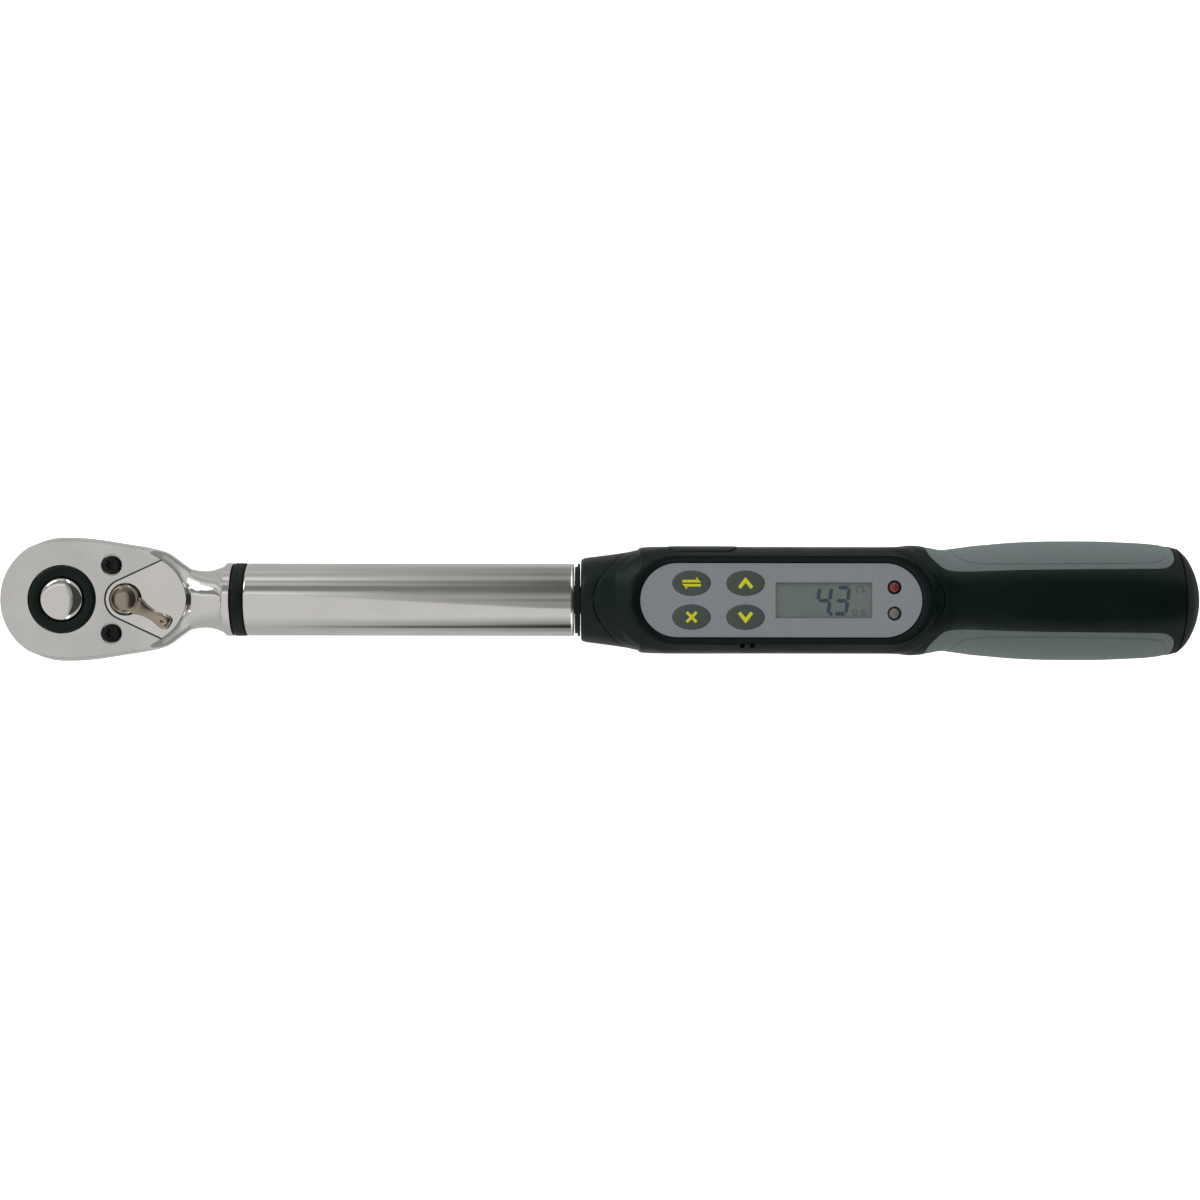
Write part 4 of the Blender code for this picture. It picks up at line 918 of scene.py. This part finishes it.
def neck_section(x, half_width, half_height):
    return [(x, half_width * side, AXIS_Z + half_height * up) for side, up in oval(96)]


def stepped(name, radius, lower_radius, step, bottom, top, x=0, y=0, steps=96):
    """A cutter of two widths, upright at a place."""
    profile = [(0, top), (radius, top), (radius, step), (lower_radius, step), (lower_radius, bottom),
               (0, bottom)]
    return turned(name, profile, (x, y, 0), "Z", steps)


def pawl_room():
    half = 9.6
    back = arc(PIVOT_X, 0, 5.6, -75, 75, 17)
    outline = [(7.4, -half), (13.5, -half)] + back + [(13.5, half), (7.4, half)]
    return plate("pawl_room", [outline], HEAD_BOTTOM + 2.5, HEAD_TOP - 1.8)


def cover_plate():
    cover = head_forging("head_cover")
    common(cover, v_front("front", NOSE_RADIUS, PLATE_BASE, True))
    cut(cover, lipped_hole(11.15, HEAD_TOP - 4, 0, 0, 128))
    for name in COVER_SCREWS:
        x, y, _ = middle(name)
        screw_hole = rod("hole", 1.7, HEAD_TOP - 4, HEAD_TOP, (x, y, 0))
        cut(cover, lipped_hole(3.4, HEAD_TOP - 1.0, x, y), screw_hole)
    finish_piece(cover, "satin_chrome", "frame", ["cover_plate"], 24)
    # Painted shade: a thin dark strip in the seal rubber finish fills the V gap just under the top face,
    # standing in for the gap's shadow.
    seal = v_front("v_gap_shade_strip", NOSE_RADIUS - V_GAP + 0.03, PLATE_BASE, False)
    common(seal, head_forging("limit"), box("under", (-25, -25, HEAD_BOTTOM), (50, 25, HEAD_TOP - 0.25)))
    cut(seal, v_front("room", NOSE_RADIUS - 0.03, PLATE_BASE - 1, False))
    finish_piece(seal, "seal_rubber", "frame")
    # Painted shade: a dark ring in the seal rubber finish fills the gap round the lever boss, standing in for
    # the gap's shadow.
    corners = [(5.24, 0.15), (5.24, 0.7), (4.83, 0.7), (4.83, 0.15)]
    profile = [(radius, HEAD_TOP - drop) for radius, drop in corners]
    gap_shade_ring = turned("lever_gap_shade_ring", profile, (PIVOT_X, 0, 0), "Z", 96, True)
    finish_piece(gap_shade_ring, "seal_rubber", "frame")


def star_outline(centre_x, centre_y, radius):
    """A six-pointed outline with rounded points and hollows."""
    points = []
    for angle in turns(72):
        reach = radius * (1 + 0.16 * math.cos(6 * angle))
        points.append((centre_x + reach * math.cos(angle), centre_y + reach * math.sin(angle)))
    return points


def cover_screws():
    for name in COVER_SCREWS:
        x, y, _ = middle(name)
        top, bottom = high(name)[2], low(name)[2]
        profile = [(0, top), (2.65, top), (2.95, top - 0.12), (3.1, top - 0.4), (3.1, top - 1.0),
                   (1.3, top - 1.0), (1.3, bottom), (0, bottom)]
        screw = turned(name + "_star", profile, (x, y, 0), "Z", 64)
        cut(screw, plate("star", [star_outline(x, y, 1.42)], top - 0.85, top + 1))
        round_edges(screw, 0.08, 2, 50)
        finish_piece(screw, "black_steel", "frame", [name], 40)


def dust_ring():
    top, bottom = high("dust_ring")[2], low("dust_ring")[2]
    outside, bore = high("dust_ring")[0], 7.35
    profile = [(outside - 0.75, top), (outside - 0.35, top - 0.08), (outside - 0.1, top - 0.28),
               (outside, top - 0.6), (outside, bottom), (bore, bottom), (bore, top - 0.5),
               (bore + 0.12, top - 0.2), (bore + 0.45, top)]
    ring = turned("drive_ring", profile, (0, 0, 0), "Z", 128, True)
    finish_piece(ring, "black_ring", "drive", ["dust_ring"], 45)


def release_button():
    top, bottom = high("release_button")[2], low("release_button")[2]
    radius = high("release_button")[0]
    edge = top - 1.9
    dome = [(0, top)]
    for degrees in range(3, 91, 3):
        angle = math.radians(degrees)
        dome.append((radius * math.sin(angle) ** 0.78, edge + 1.9 * max(math.cos(angle), 0) ** 0.72))
    stem = [(1.6, 4.4), (0.8, 3.9), (0.8, 2.6), (1.6, 2.1), (1.6, 0.2), (1.4, 0), (0, 0)]
    profile = dome + [(radius, edge - 1.5), (radius - 0.15, edge - 1.9), (1.6, edge - 1.9)]
    profile += [(reach, bottom + height) for reach, height in stem]
    button = turned("push_button", profile, (0, 0, 0))
    finish_piece(button, "chrome", "button", ["release_button"], 40)


def drive_square():
    """The gear with its hub, and the square with rounded edges and a ball hole."""
    gear_low, gear_high = low("drive_gear"), high("drive_gear")
    teeth, outer, depth = 36, gear_high[0], 0.9
    outline = []
    for i in range(teeth):
        for share, radius in ((-0.1, outer), (0.1, outer), (0.38, outer - depth), (0.62, outer - depth)):
            angle = 2 * math.pi * (i + share) / teeth
            outline.append((radius * math.cos(angle), radius * math.sin(angle)))
    gear = plate("gear_and_square", [outline], HEAD_BOTTOM + 2.7, gear_high[2])
    hub_profile = [(0, HEAD_BOTTOM + 3.4), (8.4, HEAD_BOTTOM + 3.4), (8.4, HEAD_BOTTOM - 0.35),
                   (8.15, HEAD_BOTTOM - 0.6), (0, HEAD_BOTTOM - 0.6)]
    half = DRIVE_SQUARE / 2
    square = box("square", (-half, -half, gear_low[2]), (half, half, HEAD_BOTTOM + 1))
    round_edges(square, 0.6, 3, 40)
    join(gear, turned("hub", hub_profile, (0, 0, 0)), square)
    cut(gear, rod("bore", 7.35, HEAD_TOP - 6.5, HEAD_TOP + 1, (0, 0, 0), "Z", 64),
        rod("stem_bore", 1.9, 1.0, HEAD_TOP, (0, 0, 0), "Z", 32),
        rod("ball_bore", 1.8, 0, 8, (0, 0, middle("detent_ball")[2]), "Y", 32))
    round_edges(gear, 0.08, 2, 40)
    finish_piece(gear, "steel", "drive", ["drive_gear"], 35)
    bm = bmesh.new()
    bmesh.ops.create_icosphere(bm, subdivisions=4, radius=1.6 * MM)
    for vert in bm.verts:
        vert.co += Vector(middle("detent_ball")) * MM
    ball = as_object("steel_ball", mesh_from(bm, "steel_ball"))
    finish_piece(ball, "chrome", "ball", ["detent_ball"])


LEVER_DIRECTION = (13.3, -7.53)


def lever_section(x, half_width, bottom, top, squareness=2.6):
    centre, half = (bottom + top) / 2, (top - bottom) / 2
    return [(x, half_width * side, centre + half * up) for side, up in oval(40, 2 / squareness)]


def reverse_lever():
    """The boss with a raised rim round a dished disc, and the arm with its thumb end."""
    bottom, base, top = low("reverse_lever")[2], HEAD_TOP + 0.35, high("reverse_lever")[2]
    profile = [(0, top - 0.25), (1.5, top - 0.3), (2.7, top - 0.5), (3.35, top - 0.78), (3.6, top - 0.86),
               (3.75, top - 0.75), (3.9, top - 0.3), (4.05, top - 0.08), (4.25, top), (4.45, top - 0.08),
               (4.65, top - 0.35), (4.75, top - 0.8), (4.75, HEAD_TOP - 0.7), (3.0, HEAD_TOP - 0.7),
               (3.0, bottom), (0, bottom)]
    lever = turned("lever_body", profile, (0, 0, 0))
    stations = [(3.9, 2.9, 1.25), (5.2, 2.7, 1.3), (6.6, 2.15, 1.22), (8.2, 1.85, 1.1), (10.0, 1.72, 1.05),
                (11.6, 1.85, 1.15), (12.8, 2.1, 1.45), (13.8, 2.3, 1.62), (14.9, 2.38, 1.68), (15.9, 2.3, 1.6),
                (16.5, 2.0, 1.35), (16.85, 1.5, 1.0), (16.95, 1.0, 0.8)]
    rings = [lever_section(x, half, base, base + height) for x, half, height in smooth(stations, 4)]
    arm = loft("arm", rings)
    hollow = [(13.3, 0.3, 1.72), (13.9, 1.0, 1.45), (14.8, 1.35, 1.3), (15.6, 1.1, 1.38), (16.1, 0.4, 1.6)]
    dish = [lever_section(x, half, base + z, base + 4, 2.0) for x, half, z in smooth(hollow, 5)]
    cut(arm, loft("dish", dish))
    join(lever, arm)
    round_edges(lever, 0.12, 2, 45)
    angle = math.atan2(*LEVER_DIRECTION[::-1])
    for vert in lever.data.vertices:
        x, y = vert.co.x, vert.co.y
        vert.co.x = x * math.cos(angle) - y * math.sin(angle) + PIVOT_X * MM
        vert.co.y = x * math.sin(angle) + y * math.cos(angle)
    finish_piece(lever, "bronze", "lever", ["reverse_lever"], 50)


# -------- tube and seals

def sleeve(name, node, bore, edge, material, steps, sharp):
    """A round sleeve with the same edge at both ends: (inset from the radius, run from the end)."""
    start, end, radius = ends(node)
    profile = [(radius - inset, end - run) for inset, run in edge]
    profile += [(radius - inset, start + run) for inset, run in edge[::-1]] + [(bore, start), (bore, end)]
    piece = turned(name, profile, (0, 0, AXIS_Z), "X", steps, True)
    finish_piece(piece, material, "frame", [node], sharp)


def tube_and_seals():
    tube_edge = [(0.45, 0), (0.15, 0.12), (0, 0.45), (0, 0.9)]
    sleeve("chrome_tube", "outer_tube", 10.3, tube_edge, "chrome", 160, 40)
    sleeve("spacer_ring", "front_seal_ring", 9.7, [(0.5, 0), (0.15, 0.15), (0, 0.5)], "seal_rubber", 128, 50)
    start, end, radius = ends("rear_seal")
    profile = [(radius - 0.15, end), (radius, end - 0.15), (radius, end - 0.55), (radius - 0.2, end - 0.8),
               (radius - 1.0, end - 0.85), (radius - 1.0, start + 0.1), (radius - 1.15, start), (9.0, start),
               (9.0, end)]
    seal = turned("stepped_seal", profile, (0, 0, AXIS_Z), "X", 128, True)
    finish_piece(seal, "seal_rubber", "frame", ["rear_seal"], 50)


# -------- carried-over nodes

def carried_nodes():
    """The inner CAD nodes keep their shape and take the procedural material of their slot."""
    slots = {row["node"]: row["material_slot"] for row in frame["record"]["subparts"]}
    for name, node in frame["nodes"].items():
        if not node.hide_render:
            node.data.materials.clear()
            node.data.materials.append(MATERIALS[slots[name]])


# -------- stage, light and camera

def floor():
    mat, shader = new_material("pale_floor", (0.88, 0.88, 0.88), 0.9)
    tinted(mat, shader, noise(mat, 8.0, 2.0), (0.86, 0.86, 0.86), (0.9, 0.9, 0.9))
    shader.inputs["Specular IOR Level"].default_value = 0.1
    shader.inputs["Emission Color"].default_value = (1, 1, 1, 1)
    shader.inputs["Emission Strength"].default_value = 1.0
    bm = bmesh.new()
    bmesh.ops.create_grid(bm, x_segments=2, y_segments=2, size=6.0)
    sheet = as_object("floor", mesh_from(bm, "floor"))
    sheet.location = (0.18, 0, CAD_BOX[0][2] - 0.0005)
    sheet.data.materials.append(mat)
    sheet.visible_glossy = False


def studio_level(value):
    """The radiance that polished chrome shows as a screen value of 0 to 255."""
    return (value / 255) ** 2.2 / METALS["chrome"][0][0]


def studio_ramp(nodes, bands):
    """Walls, lamps and gaps over the angle from below (-180) over straight up (0) to below (180).

    Each band has its start, end and level, and the light runs softly from one band to the next.
    """
    stops = []
    for start, end, value in bands:
        level = studio_level(value)
        for angle in sorted({start, end}):
            stops.append(((angle + 180) / 360, (level, level * 0.99, level * 0.965, 1)))
    node = nodes.new("ShaderNodeValToRGB")
    fill_ramp(node, stops)
    return node


def both_sides(overhead, bands):
    """The bands of one side, mirrored, with the overhead band between them."""
    return [(-end, -start, value) for start, end, value in bands[::-1]] + [overhead] + bands


CEILING_LEVEL = 188
# The studio round the wrench: in front of it, half way, and behind it, then what the handle mirrors
HEAD_END = [(-180, -100, 165), (-55, 12, CEILING_LEVEL), (20, 20, 220), (30, 42, 120), (48, 52, 175),
            (60, 60, 150), (66, 71, 210), (80, 90, 160), (96, 96, 180), (104, 180, 165)]
HALF_WAY = [(-180, -120, 170), (-112, -105, 155), (-99, -95, 85), (-88, -80, 155), (-60, -38, 190),
            (-25, 12, 155), (31, 41, 115), (48, 48, 145), (58, 58, 125), (67, 76, 165), (88, 105, 150),
            (140, 180, 165)]
HANDLE_END = [(-180, -130, 165), (-113, -104, 130), (-99, -90, 45), (-80, -80, 130), (-50, -30, 190),
              (-25, -8, 135), (0, 0, 100), (5, 12, 135), (27, 60, 90), (72, 76, 140), (88, 88, 110),
              (100, 122, 130), (135, 180, 165)]
OVER_DISPLAY = both_sides((-30, 30, 60), [(40, 40, 120), (48, 75, 400), (84, 84, 260), (120, 120, 190),
                                          (180, 180, 150)])
OVER_GRIP = both_sides((-28, 28, 60), [(36, 36, 110), (45, 45, 175), (75, 75, 190), (110, 110, 130),
                                       (180, 180, 120)])
# Where each one gives way to the next, by the angle along the wrench
STUDIO = [(HALF_WAY, -0.16, -0.09), (HANDLE_END, -0.09, -0.016), (OVER_DISPLAY, 0.01, 0.03),
          (OVER_GRIP, 0.15, 0.175)]


def surroundings():
    """The studio that the chrome mirrors: walls and lamps to both sides, under a long pale ceiling panel."""
    world = bpy.data.worlds.new("studio")
    bpy.context.scene.world = world
    world.use_nodes = True
    nodes, links = world.node_tree.nodes, world.node_tree.links

    def feed(socket, value):
        """Link a socket to another one, or set its value."""
        if isinstance(value, bpy.types.NodeSocket):
            links.new(value, socket)
        else:
            socket.default_value = value

    def maths(operation, first, second=0.0):
        node = nodes.new("ShaderNodeMath")
        node.operation = operation
        feed(node.inputs[0], first)
        feed(node.inputs[1], second)
        return node.outputs["Value"]

    def step(value, start, end):
        node = nodes.new("ShaderNodeMapRange")
        node.inputs["From Min"].default_value = start
        node.inputs["From Max"].default_value = end
        links.new(value, node.inputs["Value"])
        return node.outputs["Result"]

    def mix(share, first, second):
        node = nodes.new("ShaderNodeMix")
        node.data_type = "RGBA"
        links.new(share, node.inputs["Factor"])
        colours = [socket for socket in node.inputs if socket.type == "RGBA"]
        feed(colours[0], first)
        feed(colours[1], second)
        return [socket for socket in node.outputs if socket.type == "RGBA"][0]

    def side(bands):
        node = studio_ramp(nodes, bands)
        links.new(share, node.inputs["Fac"])
        return node.outputs["Color"]

    place = nodes.new("ShaderNodeTexCoord")
    split = nodes.new("ShaderNodeSeparateXYZ")
    links.new(place.outputs["Generated"], split.inputs["Vector"])
    across = maths("ARCTAN2", split.outputs["Y"], split.outputs["Z"])
    along = maths("ARCSINE", split.outputs["X"])
    share = step(across, -math.pi, math.pi)
    walls = side(HEAD_END)
    for bands, start, end in STUDIO:
        walls = mix(step(along, start, end), walls, side(bands))
    panel_level = studio_level(CEILING_LEVEL)
    edge = maths("ADD", along, maths("MULTIPLY", across, 0.17))
    inside = maths("MULTIPLY", step(edge, -0.098, -0.112), step(across, 0.33, 0.31))
    inside = maths("MULTIPLY", inside, step(across, -0.9, -0.7))
    ceiling = mix(inside, walls, (panel_level, panel_level * 0.985, panel_level * 0.955, 1))
    links.new(ceiling, nodes["Background"].inputs["Color"])
    nodes["Background"].inputs["Strength"].default_value = 1.0


def soft_light(name, place, target, size, power, glossy=True):
    data = bpy.data.lights.new(name, "AREA")
    data.shape = "RECTANGLE"
    data.size, data.size_y = size
    data.energy = power
    lamp = bpy.data.objects.new(name, data)
    bpy.context.scene.collection.objects.link(lamp)
    lamp.location = place
    direction = Vector(target) - Vector(place)
    lamp.rotation_euler = direction.to_track_quat("-Z", "Y").to_euler()
    lamp.visible_glossy = glossy


def lighting():
    middle_point = (0.18, 0, 0.02)
    soft_light("front_softbox", (-0.7, 0.75, 0.6), middle_point, (0.5, 0.35), 1.7)
    soft_light("side_wash", (0.3, 1.0, 1.1), middle_point, (1.2, 0.8), 5.0, glossy=False)
    soft_light("top_wash", (0.18, 0.0, 1.6), middle_point, (1.6, 1.6), 4.0, glossy=False)


def camera():
    data = bpy.data.cameras.new("camera")
    data.sensor_width = 36.0
    data.lens = 63.25
    data.clip_start, data.clip_end = 0.01, 20
    view = bpy.data.objects.new("camera", data)
    bpy.context.scene.collection.objects.link(view)
    view.location = (0.1767, 0.0, AXIS_Z * MM + 0.70)
    view.rotation_euler = (0, 0, 0.0015)
    bpy.context.scene.camera = view


def main():
    bpy.context.scene.view_settings.view_transform = "Standard"
    for build in (camera, make_materials, ratchet_head, cover_plate, cover_screws, dust_ring, release_button,
                  drive_square, reverse_lever, tube_and_seals, display_cover, port_cover, handle_body,
                  grip_pads, battery_cap, panel_overlay, key_pads, display, lights, carried_nodes, floor,
                  surroundings, lighting):
        build()


main()
